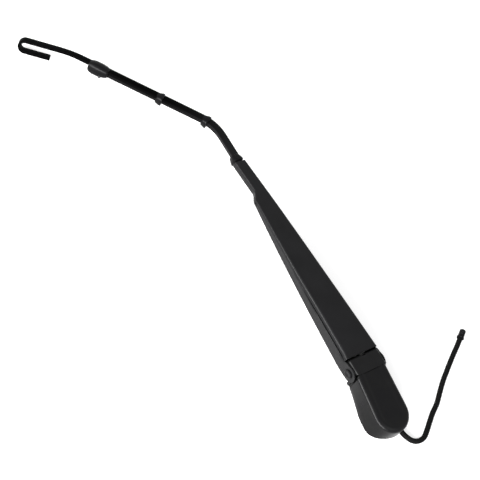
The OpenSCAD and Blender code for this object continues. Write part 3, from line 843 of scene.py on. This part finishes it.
@dataclass
class Channel:
    """The channel: one tapering sheet with round ears at the hinge and a narrow neck."""

    sheet: float = 1.6  # its thickness
    start: float = 60.0
    end: float = 291.0
    width: float = 38.6
    neck_w: float = 12.6
    neck_l: float = 36.0
    neck_y: float = -1.2
    bow: float = 1.1  # of the sides, outwards
    shoulder_l: float = 12.0
    shoulder_in: float = 4.4  # depth of the shoulder before the neck
    top: float = 27.0  # height of the plate
    top_end: float = 20.3
    side: float = 18.8  # height of the side walls
    side_end: float = 6.0
    neck_h: float = 7.0  # the same in the neck
    fold: float = 3.0  # outer radius of the folds
    fold_end: float = 1.8
    fold_span: tuple[float, float] = (150.0, 240.0)
    ear_r: float = 8.6
    ear_low: float = 8.0  # degrees at which the ear's round edge ends below
    ear_high: float = 60.0  # and above
    ear_rows: int = 17  # rows of vertices along an ear
    gap: float = 0.7  # between the ears' end and the plate
    crease: float = 1.0  # depth of the ledge pressed under the near fold
    crease_in: tuple[float, float] = (60.0, 64.0)
    crease_out: tuple[float, float] = (105.0, 158.0)

    @property
    def neck_start(self) -> float:
        """X where the neck starts."""
        return self.end - self.neck_l

    @property
    def shoulder(self) -> float:
        """X where the shoulder starts."""
        return self.neck_start - self.shoulder_l

    def side_y(self, x: float, side: Side) -> float:
        """Returns how far the outer face of a side wall is from the centre line.

        Args:
            x: the place along the channel.
            side: which wall.

        Returns:
            The Y, less than 0 on the right.
        """
        k = ramp(x, self.start, self.end)
        y = mix(self.width / 2, self.neck_w / 2, k) + 4 * self.bow * k * (1 - k)
        if side is Side.RIGHT:
            return self.neck_y * k - y
        drawn_in = ease(ramp(x, self.shoulder, self.neck_start))
        drawn_in *= 1 - ramp(x, self.neck_start, self.end)
        return self.neck_y * k + y - self.shoulder_in * drawn_in

    def plate_z(self, x: float) -> float:
        """Returns the height of the top plate."""
        return mix(self.top, self.top_end, ramp(x, self.start, self.end))

    def edge_z(self, x: float) -> float:
        """Returns the height of a side wall's lower edge.

        Args:
            x: the place along the channel.

        Returns:
            The height.
        """
        if x < self.shoulder:
            k = ramp(x, self.start, self.shoulder)
            return self.plate_z(x) - mix(self.side, self.side_end, k + 0.35 * k * (k - 1))
        k = ramp(x, self.shoulder, self.neck_start)
        return self.plate_z(x) - mix(self.side_end, self.neck_h, k)

    def ear(self, x: float) -> tuple[float, float]:
        """Returns the ear's outline: a round that goes over into straight edges.

        Args:
            x: the place along the ear.

        Returns:
            The height of its lower and of its upper edge.
        """
        (hx, hz), r = HINGE, self.ear_r
        low_turn, high_turn = math.radians(self.ear_low), math.radians(self.ear_high)
        rise = math.sqrt(max(0.0, r * r - (x - hx) ** 2))
        low, high = hz - rise, hz + rise
        straight = hx - r * math.sin(low_turn)
        if x > straight:
            k = ramp(x, straight, self.start)
            low = mix(hz - r * math.cos(low_turn), self.top - self.side, k)
        straight = hx + r * math.cos(high_turn)
        if x > straight:
            k = ramp(x, straight, self.start)
            high = mix(hz + r * math.sin(high_turn), self.top - self.fold, k)
        return low, high

    def half_profile(self, x: float, side: Side) -> list[tuple[float, float]]:
        """Returns one side of the sheet's outer outline, from its lower edge to the plate's middle.

        Args:
            x: the place along the channel.
            side: which side.

        Returns:
            The points as (y, z), of which the first seven are the wall.
        """
        s, y = side.value, self.side_y(max(x, self.start), side)
        if x < self.start:
            low, high = self.ear(x)
            return [(y, mix(low, high, k / 6)) for k in range(7)] + [(y, high)] * 10
        r = mix(self.fold, self.fold_end, ramp(x, *self.fold_span))
        top, edge = self.plate_z(x), self.edge_z(x)
        bend = top - r
        ledge = 0.0
        if side is Side.LEFT:
            ledge = self.crease * (1 - ramp(x, *self.crease_out)) * ramp(x, *self.crease_in)
        plain = (edge, edge + 0.5, mix(edge, bend, 0.35), mix(edge, bend, 0.7), bend - 1.5)
        pts = [(y, z) for z in plain]
        pts += [(y - s * ledge * 0.1, bend - 1.4), (y - s * ledge, bend - 1.3)]
        for a in np.radians(np.linspace(0, 90, 9))[1:]:
            pts.append((y - s * (ledge + r - r * math.cos(a)), bend + r * math.sin(a)))
        pts.append((y - s * (ledge + r + 0.8), top))
        pts.append((mix(y - s * (r + 1.2), self.neck_y * 0.5, 0.5), top))
        return pts

    def rows(self) -> list[float]:
        """Places the rows of vertices, closer together at the shoulder and the ears.

        Returns:
            The X of each row.
        """
        rear, last = HINGE[0] - self.ear_r, self.ear_rows - 1
        turn = [math.pi / 2 * k / last for k in range(last)]
        rows = [rear + (self.start - rear) * (1 - math.cos(a)) for a in turn]
        rows.append(self.start + self.gap - 0.05)
        rows += list(np.linspace(self.start + self.gap, self.shoulder, 30))
        rows += list(np.linspace(self.shoulder, self.neck_start, 13))[1:]
        return rows + list(np.linspace(self.neck_start, self.end, 8))[1:]

    def sheet_mesh(self) -> Piece:
        """Models the sheet's outer face: a grid bent to the profiles and open between the ears.

        Returns:
            The face, without its thickness.
        """
        rows, table = self.rows(), []
        for x in rows:
            table.append(self.half_profile(x, Side.LEFT) + self.half_profile(x, Side.RIGHT)[::-1])
        spans = len(rows) - 1, len(table[0]) - 1
        bpy.ops.mesh.primitive_grid_add(x_subdivisions=spans[0], y_subdivisions=spans[1], size=2)
        obj = bpy.context.object
        bm = bmesh.new()
        bm.from_mesh(obj.data)
        for v in bm.verts:
            i, j = round((v.co.x + 1) / 2 * spans[0]), round((v.co.y + 1) / 2 * spans[1])
            y, z = table[i][j]
            v.co = Vector((rows[i], y + ARM_Y, z)) * MM
            v.tag = i < self.ear_rows and 6 < j < spans[1] - 6
        before = (self.start + self.gap - 0.02) * MM
        gone = []
        for face in bm.faces:
            if sum(v.tag for v in face.verts) >= 2 and any(v.co.x < before for v in face.verts):
                gone.append(face)
        bmesh.ops.delete(bm, geom=gone, context="FACES")
        bmesh.ops.remove_doubles(bm, verts=bm.verts, dist=WELD)
        bm.to_mesh(obj.data)
        bm.free()
        obj.data.update()
        level = [p for p in obj.data.polygons if abs(p.normal.z) > 0.9]
        if sum((p.normal * p.area for p in level), Vector()).z < 0:
            obj.data.flip_normals()
        return obj

    def build(self) -> None:
        """Models and dresses the channel."""
        obj = self.sheet_mesh()
        modify(obj, "SOLIDIFY", thickness=self.sheet * MM, offset=-1.0, use_even_offset=False)
        bevel_edges(obj, 0.3, 2, 55, behind=self.start + 1)
        settle(obj, "folded_channel", 38, outwards=False)
        finish_piece(obj, "arm", SHEET_PAINT.build(), ["channel"])


# ---------------------------------------------------------------- the nut cover


@dataclass
class NutCover:
    """The cover over the spindle nut: a thin moulding with a soft edge, a dish and a flare."""

    r: float = 18.8  # radius of its round rear
    dy: float = -0.6  # shift of that round to the side
    wall: float = 1.8
    front: float = 41.5
    lip: float = 0.5  # how far it reaches past its front
    past: float = 4.0  # how far the uncut shell runs past the front
    past_inner: float = 2.5
    y0: float = -20.5  # the front corners
    y1: float = 14.7
    front_z: float = 27.1
    rear_z: float = 20.5
    low: float = 1.2  # height of the skirt's lower edge
    rise: float = 3.4  # how much higher that is at the rear
    rise_front: float = 3.4
    flare: float = 4.4  # of the skirt's left side
    edge: float = 3.4  # height of the rounded edge
    edge_wide: float = 1.3  # its width, as a share of its height
    dish: float = 1.0
    ear_r: float = 9.3  # clearance round the channel's ears
    # the hose's notch as (y, width, height), the hinge's barrel, and the corners of its web
    notch: tuple[float, float, float] = (-11.8, 7.6, 8.0)
    barrel: Profile = (
        (-20.4, 1.0), (-20.2, 1.2), (-16.5, 1.2), (-16.5, 2.4), (-16.3, 2.6),
        (10.5, 2.6), (10.7, 2.4), (10.7, 1.2), (12.9, 1.2), (13.1, 1.0),
    )
    web: tuple[Point, Point] = ((37.9, -16.45, 22.7), (41.1, 10.65, 25.5))

    def top(self, x: float) -> float:
        """Returns the height of the cover's top before it is dished."""
        hinge = COVER_HINGE[0]
        return mix(self.front_z, self.rear_z, (hinge - x) / (hinge + self.r))

    def outline(self, inset: float, inner: bool = False) -> list[tuple[float, float]]:
        """Returns the cover's plan, from a front corner round the rear and back along the front.

        The plan runs past the front, where the front is cut off later.

        Args:
            inset: distance inside the outer edge.
            inner: whether it belongs to the inner face, which stops short of the outer one.

        Returns:
            The points as (x, y).
        """
        r = self.r - inset
        turn = [math.radians(-90 - 180 * k / 52) for k in range(53)]
        arc = [(r * math.cos(a), self.dy + r * math.sin(a)) for a in turn]
        past = self.front + (self.past_inner if inner else self.past) - 0.02 * inset
        far = (past - arc[0][0]) / (self.front - arc[0][0])
        a = (past, mix(arc[0][1], self.y0 + inset, far))
        b = (past, mix(arc[-1][1], self.y1 - inset, far))
        out = [tuple(mix(p, q, k / 16) for p, q in zip(a, arc[0])) for k in range(16)] + arc
        out += [tuple(mix(p, q, k / 16) for p, q in zip(arc[-1], b)) for k in range(1, 17)]
        return out + [(past, mix(b[1], a[1], k / 10)) for k in range(1, 10)]

    def skirt(self, x: float) -> float:
        """Returns the height of the skirt's lower edge.

        Args:
            x: the place along the cover.

        Returns:
            The height.
        """
        if x < -6:
            return self.low + self.rise * ramp(-x, 6, 17)
        return self.low + self.rise_front * ramp(x, 8, COVER_HINGE[0])

    def ring(self, inset: float, drop: float, inner: bool = False) -> np.ndarray:
        """Returns one ring of the cover's upper part, at a distance under its top."""
        return np.array([(x, y, self.top(x) - drop) for x, y in self.outline(inset, inner)])

    def dished(self, inset: float) -> np.ndarray:
        """Returns one ring of the dish inside the rounded edge."""
        wide = self.edge_wide * self.edge
        return self.ring(inset, self.dish * ease(ramp(inset, wide, wide + 6.0)))

    def skirt_ring(self, inset: float, share: float, inner: bool = False) -> np.ndarray:
        """Returns a ring of the skirt.

        Args:
            inset: distance inside the outer face.
            share: 0 at the rounded edge and 1 at the lower edge.
            inner: whether it belongs to the inner face.

        Returns:
            The ring's points, one row each.
        """
        out = []
        for x, y in self.outline(inset, inner):
            high = self.top(x) - self.edge
            z = mix(high, self.skirt(x), share)
            full = self.flare * ramp(y, 2, 14) * (1 - ramp(x, 12, 36))
            out.append((x, y + full * (high - z) / (high + 2), z))
        return np.array(out)

    def shell(self) -> Piece:
        """Models the cover's shell before anything is cut from it.

        Returns:
            The shell.
        """
        e, w, soft = self.edge, self.wall, 0.35
        insets = (16.8, 15, 13, 11.5, 10.5, 9.5, 8.5, 7.5, 6.5, 5.6, 5.0)
        rings = [self.dished(inset) for inset in insets]
        for a in np.radians(np.linspace(90, 0, 12)):
            rings.append(self.ring(self.edge_wide * e * (1 - math.cos(a)), e * (1 - math.sin(a))))
        rings += [self.skirt_ring(0, share) for share in (0.25, 0.5, 0.75, 0.97)]
        rings += [self.skirt_ring(soft, 1), self.skirt_ring(w - soft, 1, True)]
        rings += [self.skirt_ring(w, share, True) for share in (0.97, 0.75, 0.5, 0.25)]
        e -= 0.8
        for a in np.radians(np.linspace(0, 90, 6)):
            inset, drop = w + e * (1 - math.cos(a)), w + 0.7 + e * (1 - math.sin(a))
            rings.append(self.ring(inset, drop, True))
        return swept("nut_cover_shell", rings, 34)

    def build(self) -> None:
        """Models and dresses the cover and its hinge."""
        obj = self.shell()
        (hx, hz), (cx, cz), far = HINGE, COVER_HINGE, 60
        cut_with(obj, box((self.front + self.lip, -far, -20), (80, far, far)))
        bpy.ops.mesh.primitive_cylinder_add(
            vertices=128,
            radius=self.ear_r * MM,
            depth=80 * MM,
            location=(hx * MM, ARM_Y * MM, hz * MM),
            rotation=(math.pi / 2, 0, 0),
        )
        cut_with(obj, bpy.context.object)
        cut_with(obj, box((cx, ARM_Y + 17.3, -5), (far, 45, far)))
        y, wide, high = self.notch
        cut_with(obj, box((-30, y - wide / 2, -1), (-7, y + wide / 2, high), 1.4))
        settle(obj, "nut_cover_shell", 34, outwards=False)
        nylon = COVER_NYLON.build()
        finish_piece(obj, "cover", nylon, ["nut_cover"])
        lie = Matrix.Translation((cx, 0, cz)) @ Matrix.Rotation(-math.pi / 2, 4, "X")
        barrel = turned("nut_cover_barrel", self.barrel, lie, 40)
        web = settle(box(*self.web, 0.3, 2), "nut_cover_web")
        finish_piece(join("nut_cover_barrel", [barrel, web]), "cover", nylon)


# ---------------------------------------------------------------- hoses


def tube(name: str, line: np.ndarray, radius: float) -> Piece:
    """Models a hose along a line.

    Args:
        name: the piece's name.
        line: the hose's middle line, one row for each of at most 100 points.
        radius: the hose's outer radius.

    Returns:
        The piece.
    """
    a = round_angles(20)
    rings = []
    for i, c in enumerate(line):
        t = unit(line[min(i + 1, len(line) - 1)] - line[max(i - 1, 0)])
        u = unit(np.cross(t, (0, 0, 1.0)))
        w = np.cross(u, t)
        rings.append(c + radius * (np.outer(np.cos(a), u) - np.outer(np.sin(a), w)))
    return swept(name, rings, 60)


@dataclass
class Hoses:
    """The washer hose: under the arm, over the hinge and free to its connector."""

    diameter: float = 5.2
    lane: float = -13.4  # its Y in the head
    duct: float = 9.6  # its height there
    drop: float = -4.2  # how far it lies under the bar
    first: float = 66.0  # X of the hose under the channel
    last: float = 235.0
    hinge_part: tuple[float, float] = (20.05, 65.95)  # X of the stretch that bends
    hinge_blend: tuple[float, float] = (40.0, 60.0)
    # places under the channel as shares of its stretch, and along the bar past the channel's end
    under: tuple[float, ...] = (0, 0.083, 0.17, 0.26, 0.38, 0.5, 0.615, 0.735, 0.82, 0.91, 1)
    along: tuple[float, ...] = (
        -40, -20, 0, 20, 34, 40, 47, 54, 60, 74, 90, 110, 130, 150, 168, 173,
    )
    free: tuple[Point, ...] = (
        (20, -13.4, 9.6), (14, -13.4, 9.4), (7, -13.4, 8), (0, -13.4, 5.8), (-6, -13.1, 4),
        (-11, -12.3, 3.1), (-17, -11, 2.9), (-23, -12.4, 2.8), (-29, -16, 2.8), (-32, -22, 2.8),
        (-31.5, -29, 2.8), (-27.5, -35.5, 2.8), (-22, -43, 2.8), (-15.5, -52, 2.8),
        (-9.5, -62, 2.8), (-1.5, -72, 2.8), (6.4, -82, 2.8), (13.2, -92, 2.8),
        (19.8, -102, 2.8), (26.2, -112, 3), (31.8, -121, 3.5), (36.6, -128, 4.1),
    )

    def arm_points(self) -> list[Point]:
        """Leads the hose along the arm: beside the spring, then up under the bar.

        Returns:
            The points that it runs through.
        """
        channel = Channel()
        neck = BAR.neck_y - (BAR.channel_end - self.last) * math.tan(math.radians(BAR.neck_turn))
        pts = []
        for k in self.under:
            x = mix(self.first, self.last, k)
            y = mix(self.lane - ARM_Y, neck, ramp(k, 0.467, 1)) + ARM_Y
            high = channel.plate_z(x) - channel.sheet - 0.4 - self.diameter / 2
            high = mix(high, BAR.z0 + self.drop, ramp(k, 0.763, 1))
            pts.append((x, y, mix(self.duct, high, ramp(k, 0.083, 0.438))))
        return pts + [tuple(BAR.at(s, self.drop)[0]) for s in self.along]

    def build(self) -> None:
        r, rubber = self.diameter / 2, HOSE_RUBBER.build()
        arm = tube("hose_under_arm", evenly(spline(self.arm_points(), 12), 100), r)
        finish_piece(arm, "arm", rubber, ["hose_arm"])
        line = np.array([(x, self.lane, self.duct) for x in np.linspace(*self.hinge_part, 24)])
        bend = tube("hose_over_hinge", line, r)
        bend.data.materials.append(rubber)
        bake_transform(bend)
        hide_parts("hose_hinge")
        LOG.info("%s between head and arm: %d faces", bend.name, len(bend.data.polygons))
        line = evenly(spline(self.free, 12), 96)
        cord = tube("free_hose", line, r)
        finish_piece(cord, "head", rubber, ["hose_free"])


@dataclass
class Connector:
    """The small connector at the free hose's end."""

    end: Point = (36.6, -128, 4.1)
    turn: float = -55.0  # degrees about Z
    tilt: float = 85.7  # degrees from Z
    # over its collars and into its bore
    steps: Profile = (
        (0, 2.7), (0.15, 3.2), (0.8, 3.2), (0.8, 3.6), (1.0, 3.8), (2.2, 3.8), (2.4, 3.6),
        (2.4, 3.2), (4.6, 3.2), (4.8, 3.0), (5.2, 3.0), (5.4, 3.2), (7.2, 3.2), (7.4, 3.0),
        (7.8, 3.0), (8.0, 3.2), (10.0, 3.2), (10.5, 2.9), (10.6, 2.6), (10.6, 1.8), (4.0, 1.8),
        (4.0, 0.0001),
    )

    def build(self) -> None:
        """Models and dresses the connector."""
        place = Matrix.Translation(self.end)
        for turn, axis in ((self.turn, "Z"), (self.tilt, "Y")):
            place = place @ Matrix.Rotation(math.radians(turn), 4, axis)
        obj = turned("connector_body", self.steps, place)
        finish_piece(obj, "head", CLIP_ACETAL.build(), ["hose_connector"])


# ---------------------------------------------------------------- clips and nozzle

# Width, height and shift up of the bar and hose together, round which a moulding is wrapped
CORE = (8.6, 8.2, -2.6)


def wrapped(
    name: str,
    s0: float,
    stops: Stops,
    sides: int = 32,
    power: float = 3.2,
    half: Half = Half.BOTH,
) -> Piece:
    """Models a moulding that is wrapped round the bar and the hose.

    Args:
        name: the piece's name.
        s0: its place along the bar.
        stops: its rings, by their distance from s0.
        sides: points round it.
        power: how square its outline is.
        half: how much of it is modelled.

    Returns:
        The piece.
    """
    rings = []
    for distance, wider, higher, lift in stops:
        p, _, d, u = BAR.at(s0 + distance, CORE[2] + lift)
        section = superellipse(CORE[0] + wider, CORE[1] + higher, sides, power)
        if half is not Half.BOTH:
            section[:, 1] = half.value * np.maximum(half.value * section[:, 1], 0.1)
        rings.append(p + np.outer(section[:, 0], d) + np.outer(section[:, 1], u))
    return swept(name, rings, 38)


@dataclass
class Clips:
    """The clips that hold the hose to the bar."""

    # name, CAD node, place along the bar, half length, growth in width, growth in height
    specs: tuple[tuple[str, str, float, float, float, float], ...] = (
        ("neck_clip", "neck_grommet", 6.0, 4.0, 4.0, 3.6),
        ("bar_clip_near_bend", "bar_clip_two", 60.0, 3.6, 3.6, 3.2),
        ("bar_clip_halfway", "bar_clip_one", 112.0, 3.6, 3.6, 3.2),
    )

    def stops(self, half: float, w: float, h: float) -> Stops:
        """Returns a clip's stops: a step on the neck's side, then a shoulder towards the hook.

        Args:
            half: half the clip's length.
            w: its growth in width.
            h: its growth in height.

        Returns:
            The clip's rings.
        """
        return [
            (-half, w - 1.8, h - 1.7, 0.1),
            (-half + 0.2, w - 0.7, h - 0.7, 0.15),
            (-half + 0.7, w, h, 0.2),
            (-half + 1.9, w, h, 0.2),
            (-half * 0.1, w - 0.7, h - 0.6, 0.2),
            (half * 0.3, w - 1.5, h - 1.3, 0.15),
            (half * 0.75, w - 2.4, h - 2.2, 0.1),
            (half - 0.2, w - 2.9, h - 2.6, 0.1),
            (half, w - 3.3, h - 3.0, 0.1),
        ]

    def build(self) -> None:
        """Models and dresses the three clips."""
        for name, node, s, half, w, h in self.specs:
            clip = wrapped(name, s, self.stops(half, w, h))
            finish_piece(clip, "arm", CLIP_ACETAL.build(), [node])


@dataclass
class Nozzle:
    """The nozzle: two moulded halves round the bar, with a jet in the lower one."""

    s: float = 180.0
    stops: Stops = (
        (-10, 1.0, 0.2, 0), (-9.4, 1.8, 1.2, 0), (-8, 2.6, 2.3, 0), (-6, 3.4, 3.4, -0.1),
        (-3.5, 4.2, 4.5, -0.3), (-1, 4.6, 5, -0.4), (2.5, 4.7, 5.1, -0.4), (6, 4.6, 5, -0.4),
        (8, 4.1, 4.4, -0.4), (9.5, 3.4, 3.6, -0.4), (10.8, 2.3, 2.2, -0.1), (11.5, 1.4, 1.0, 0.2),
    )

    def build(self) -> None:
        """Models and dresses the nozzle's halves."""
        halves = (
            ("nozzle_lower_half", Half.LOWER, "nozzle_body"),
            ("nozzle_upper_half", Half.UPPER, "nozzle_lid"),
        )
        for name, half, node in halves:
            obj = wrapped(name, self.s, self.stops, 40, 2.8, half)
            finish_piece(obj, "arm", CLIP_ACETAL.build(), [node])


# ---------------------------------------------------------------- spring


@dataclass
class Spring:
    """The tension spring between the link and its rivet."""

    coil_r: float = 4.3
    wire_r: float = 0.85
    play: float = 0.08  # between the coils
    end_l: float = 7.5  # length of each end's eye and lead
    hook_r: float = 2.9  # eye at the link
    eye_r: float = 2.95  # eye at the rivet
    turn_steps: int = 18  # points in one coil
    link_end: tuple[float, float] = (84.92, 10.83)
    rivet: tuple[float, float] = (145.5, 15.0)

    def line(self, length: float) -> np.ndarray:
        """Returns the wire's middle line for a spring that lies along X.

        Args:
            length: distance between its two pins.

        Returns:
            The points, one row each.
        """
        first, last, r = self.end_l, length - self.end_l, self.hook_r
        turns = round((last - first) / (2 * self.wire_r + self.play))
        pts: list[Point] = []
        for a in np.radians(np.linspace(-160, 160, 25)):
            pts.append((r - r * math.cos(a), r * math.sin(a), 0.0))
        pts += [(2 * r + 0.8, 0.3, 0.2), (first - 0.6, 1.8, 1.4)]
        count = turns * self.turn_steps
        for k in range(count + 1):
            a = 2 * math.pi * turns * k / count + 0.6
            x = mix(first, last, k / count)
            pts.append((x, self.coil_r * math.cos(a), self.coil_r * math.sin(a)))
        pts += [(last + 1.0, 1.6, 1.6), (last + 2.4, 0.2, 0.6)]
        for a in np.radians(np.linspace(170, -170, 25)):
            pts.append((length + self.eye_r * math.cos(a), 0.0, self.eye_r * math.sin(a)))
        return np.array(pts)

    def build(self) -> None:
        """Models and dresses the spring."""
        (ax, az), (bx, bz) = self.link_end, self.rivet
        line = self.line(math.hypot(bx - ax, bz - az))
        turn = math.atan2(bz - az, bx - ax)
        c, s = math.cos(turn), math.sin(turn)
        along, up = line[:, 0] * c - line[:, 2] * s, line[:, 0] * s + line[:, 2] * c
        placed = np.stack([ax + along, ARM_Y + line[:, 1], az + up], 1)
        obj = wire("tension_spring_coils", placed, self.wire_r)
        finish_piece(obj, "spring", SPRING_WIRE.build(), ["tension_spring"])


# ---------------------------------------------------------------- head and small pieces


@dataclass
class Head:
    """The die-cast head with its pins, and the small pieces that keep their CAD shape."""

    knuckle_r: float = 12.79  # as in the CAD, for the edges that are rounded
    half_width: float = 17.5
    top: float = 27.0
    edge: float = 2.4  # radius of the rounding
    edge_from: float = 42.7
    edge_to: float = -36.0  # degrees below the hinge
    # a riveted pin, from its inner end to its head
    pin: Profile = (
        (3.0, 3.0), (3.4, 3.5), (19.3, 3.5), (19.3, 4.6), (20.0, 4.6), (20.4, 4.4),
        (20.7, 3.9), (20.8, 3.3), (20.6, 2.4), (20.4, 1.2), (20.35, 0.001),
    )

    def rounding_tool(self, side: Side) -> Piece:
        """Models the tool that rounds the knuckle's long edge on one side.

        Args:
            side: the side of the knuckle.

        Returns:
            A rod whose section is the corner that the rounding takes off.
        """
        (hx, hz), big, r = HINGE, self.knuckle_r, self.edge
        section = [(-1.0, r), (-1.0, -1.0), (r, -1.0)]
        for a in np.radians(np.linspace(0, 90, 7)):
            section.append((r - r * math.sin(a), r - r * math.cos(a)))
        corner = (hx + math.sqrt(big**2 - (self.top - hz) ** 2), self.top)
        inner = (hx + math.sqrt((big - r) ** 2 - (self.top - r - hz) ** 2), self.top - r)
        flat = np.linspace(self.edge_from, inner[0] - 0.2, 10)
        stops = [(x, self.top, 0.0, 1.0) for x in flat]
        stops.append((*corner, (corner[0] - inner[0]) / r, (corner[1] - inner[1]) / r))
        first = math.atan2(inner[1] - hz, inner[0] - hx)
        for a in np.linspace(first - 0.03, math.radians(self.edge_to), 26):
            stops.append((hx + big * math.cos(a), hz + big * math.sin(a), math.cos(a), math.sin(a)))
        y, s = ARM_Y + side.value * self.half_width, side.value
        rings = []
        for px, pz, nx, nz in stops:
            rings.append(np.array([(px - nx * d, y - s * w, pz - nz * d) for d, w in section]))
        return swept("rounding_tool", rings)

    def build(self) -> None:
        """Models and dresses the head and what is fixed to it."""
        casting = from_node("head_casting", "die_cast_head")
        for side in Side:
            cut_with(casting, self.rounding_tool(side))
        settle(casting, "die_cast_head", 34, outwards=False)
        finish_piece(casting, "head", CAST_PAINT.build(), ["head_casting"])
        link = from_node("spring_link", "stamped_spring_link")
        finish_piece(link, "link", ZINC_PLATE.build(), ["spring_link"])
        middle = Matrix.Translation((HINGE[0], ARM_Y, HINGE[1]))
        for side in Side:
            node = "hinge_pin_" + side.name.lower()
            place = middle @ Matrix.Rotation(-side.value * math.pi / 2, 4, "X")
            pin = turned("riveted_" + node, self.pin, place, 48, 26)
            finish_piece(pin, "arm", BAR_PAINT.build(), [node])
        plain = {
            SINTERED_BRONZE: ("hinge_bush_left", "hinge_bush_right"),
            ZINC_PLATE: ("anchor_pin",),
            BAR_PAINT: ("spring_rivet",),
            SHEET_PAINT: ("bar_rivets",),
            CLIP_ACETAL: ("hose_clip_inner",),
            GROMMET_RUBBER: ("head_grommet", "connector_seal"),
            JET_ACETAL: ("nozzle_insert",),
        }
        for finish, nodes in plain.items():
            for node in nodes:
                dress(node, finish.build())


# ---------------------------------------------------------------- stage, light and camera


@dataclass(frozen=True)
class Lamp:
    """A soft lamp that looks at the arm."""

    name: str
    at: Point
    size: tuple[float, float]
    watts: float

    def build(self) -> None:
        """Hangs the lamp."""
        data = bpy.data.lights.new(self.name, "AREA")
        data.shape = "RECTANGLE"
        data.size, data.size_y = self.size
        data.energy = self.watts
        obj = new_object(self.name, data)
        obj.location = self.at
        aim = Vector((0.2, 0.02, 0.0)) - Vector(self.at)
        obj.rotation_euler = aim.to_track_quat("-Z", "Y").to_euler()


@dataclass
class Studio:
    """A pale floor, a white surrounding, soft lamps and the camera."""

    azimuth: float = 123.1512  # degrees, as are the next two
    elevation: float = 53.9448
    roll: float = -31.2313
    distance: float = 1000.12
    lens: float = 77.183  # for a sensor of 36 mm
    target: Point = (214.63, 36.818, 10.0)
    paper: str = "#c4c4c4"
    glow: float = 0.62  # of the floor, for the eye
    soft: float = 0.42  # strength of the surrounding for the object
    white: float = 1.0  # and for the eye
    lamps: tuple[Lamp, ...] = (
        Lamp("key_softbox", (0.62, 0.85, 1.25), (0.7, 0.7), 6),
        Lamp("edge_softbox", (-0.15, 1.25, 0.66), (2.4, 0.55), 105),
        Lamp("fill_softbox", (-0.9, -0.2, 1.3), (1.0, 1.0), 5),
    )

    def white_for_eye(self, t: Tree) -> Socket:
        """Tells rays from the eye, also by way of gloss or glass, from the rest.

        Args:
            t: the nodes of a material or world.

        Returns:
            1 for rays from the eye and 0 for the rest.
        """
        rays = add(t, "ShaderNodeLightPath").outputs
        pair = {0: rays["Is Camera Ray"], 1: rays["Is Glossy Ray"]}
        pair = {0: add(t, "ShaderNodeMath", pair, operation="MAXIMUM").outputs[0]}
        pair[1] = rays["Is Transmission Ray"]
        return add(t, "ShaderNodeMath", pair, operation="MAXIMUM").outputs[0]

    def floor(self) -> None:
        """Lays the floor."""
        bpy.ops.mesh.primitive_plane_add(size=30, location=(0.2, 0, -0.0004))
        obj = name_piece(bpy.context.object, "studio_floor")
        mat = bpy.data.materials.new("matte_white_paper")
        t = blank_tree(mat)
        paper = add(t, "ShaderNodeBsdfDiffuse", Color=linear(self.paper))
        lift = add(t, "ShaderNodeMath", {0: self.white_for_eye(t)}, operation="MULTIPLY")
        lift.inputs[1].default_value = self.glow
        glow = add(t, "ShaderNodeEmission", {"Strength": lift.outputs[0]}, Color=(1, 1, 1, 1))
        both = add(t, "ShaderNodeAddShader", {0: paper.outputs[0], 1: glow.outputs[0]})
        add(t, "ShaderNodeOutputMaterial", {"Surface": both.outputs[0]})
        obj.data.materials.append(mat)

    def world(self) -> None:
        """Surrounds the stage with white for the eye and soft grey light for the object."""
        world = bpy.data.worlds.new("studio_world")
        bpy.context.scene.world = world
        t = blank_tree(world)
        sky = {0: self.white_for_eye(t)}
        for key, strength in ((1, self.soft), (2, self.white)):
            light = add(t, "ShaderNodeBackground", Color=(1, 1, 1, 1), Strength=strength)
            sky[key] = light.outputs[0]
        both = add(t, "ShaderNodeMixShader", sky)
        add(t, "ShaderNodeOutputWorld", {"Surface": both.outputs[0]})

    def camera(self) -> None:
        """Sets the camera where the photograph was taken from."""
        a, e, r = (math.radians(v) for v in (self.azimuth, self.elevation, self.roll))
        back = Vector((math.cos(e) * math.cos(a), math.cos(e) * math.sin(a), math.sin(e)))
        level = (-back).cross(Vector((0, 0, 1))).normalized()
        under = (-back).cross(level)
        right = level * math.cos(r) + under * math.sin(r)
        down = under * math.cos(r) - level * math.sin(r)
        data = bpy.data.cameras.new("photo_camera")
        data.sensor_width = 36.0
        data.lens = self.lens
        data.clip_start, data.clip_end = 0.05, 50.0
        cam = new_object("photo_camera", data)
        place = Vector(self.target) * MM + back * self.distance * MM
        turn = Matrix((right, -down, back)).transposed().to_4x4()
        cam.matrix_world = Matrix.Translation(place) @ turn
        bpy.context.scene.camera = cam

    def build(self) -> None:
        """Builds the studio."""
        self.camera()
        self.floor()
        self.world()
        for lamp in self.lamps:
            lamp.build()
        bpy.context.scene.view_settings.view_transform = "Standard"


def main() -> None:
    """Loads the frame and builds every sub-assembly in order."""
    logging.basicConfig(level=logging.INFO, format="%(name)s: %(message)s")
    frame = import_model()
    NODES.update(frame["nodes"])
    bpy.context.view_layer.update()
    for assembly in (Studio, Connector, Hoses, Head, Channel, Bar, Clips, Nozzle, Spring, NutCover):
        assembly().build()


if __name__ == "__main__":
    main()
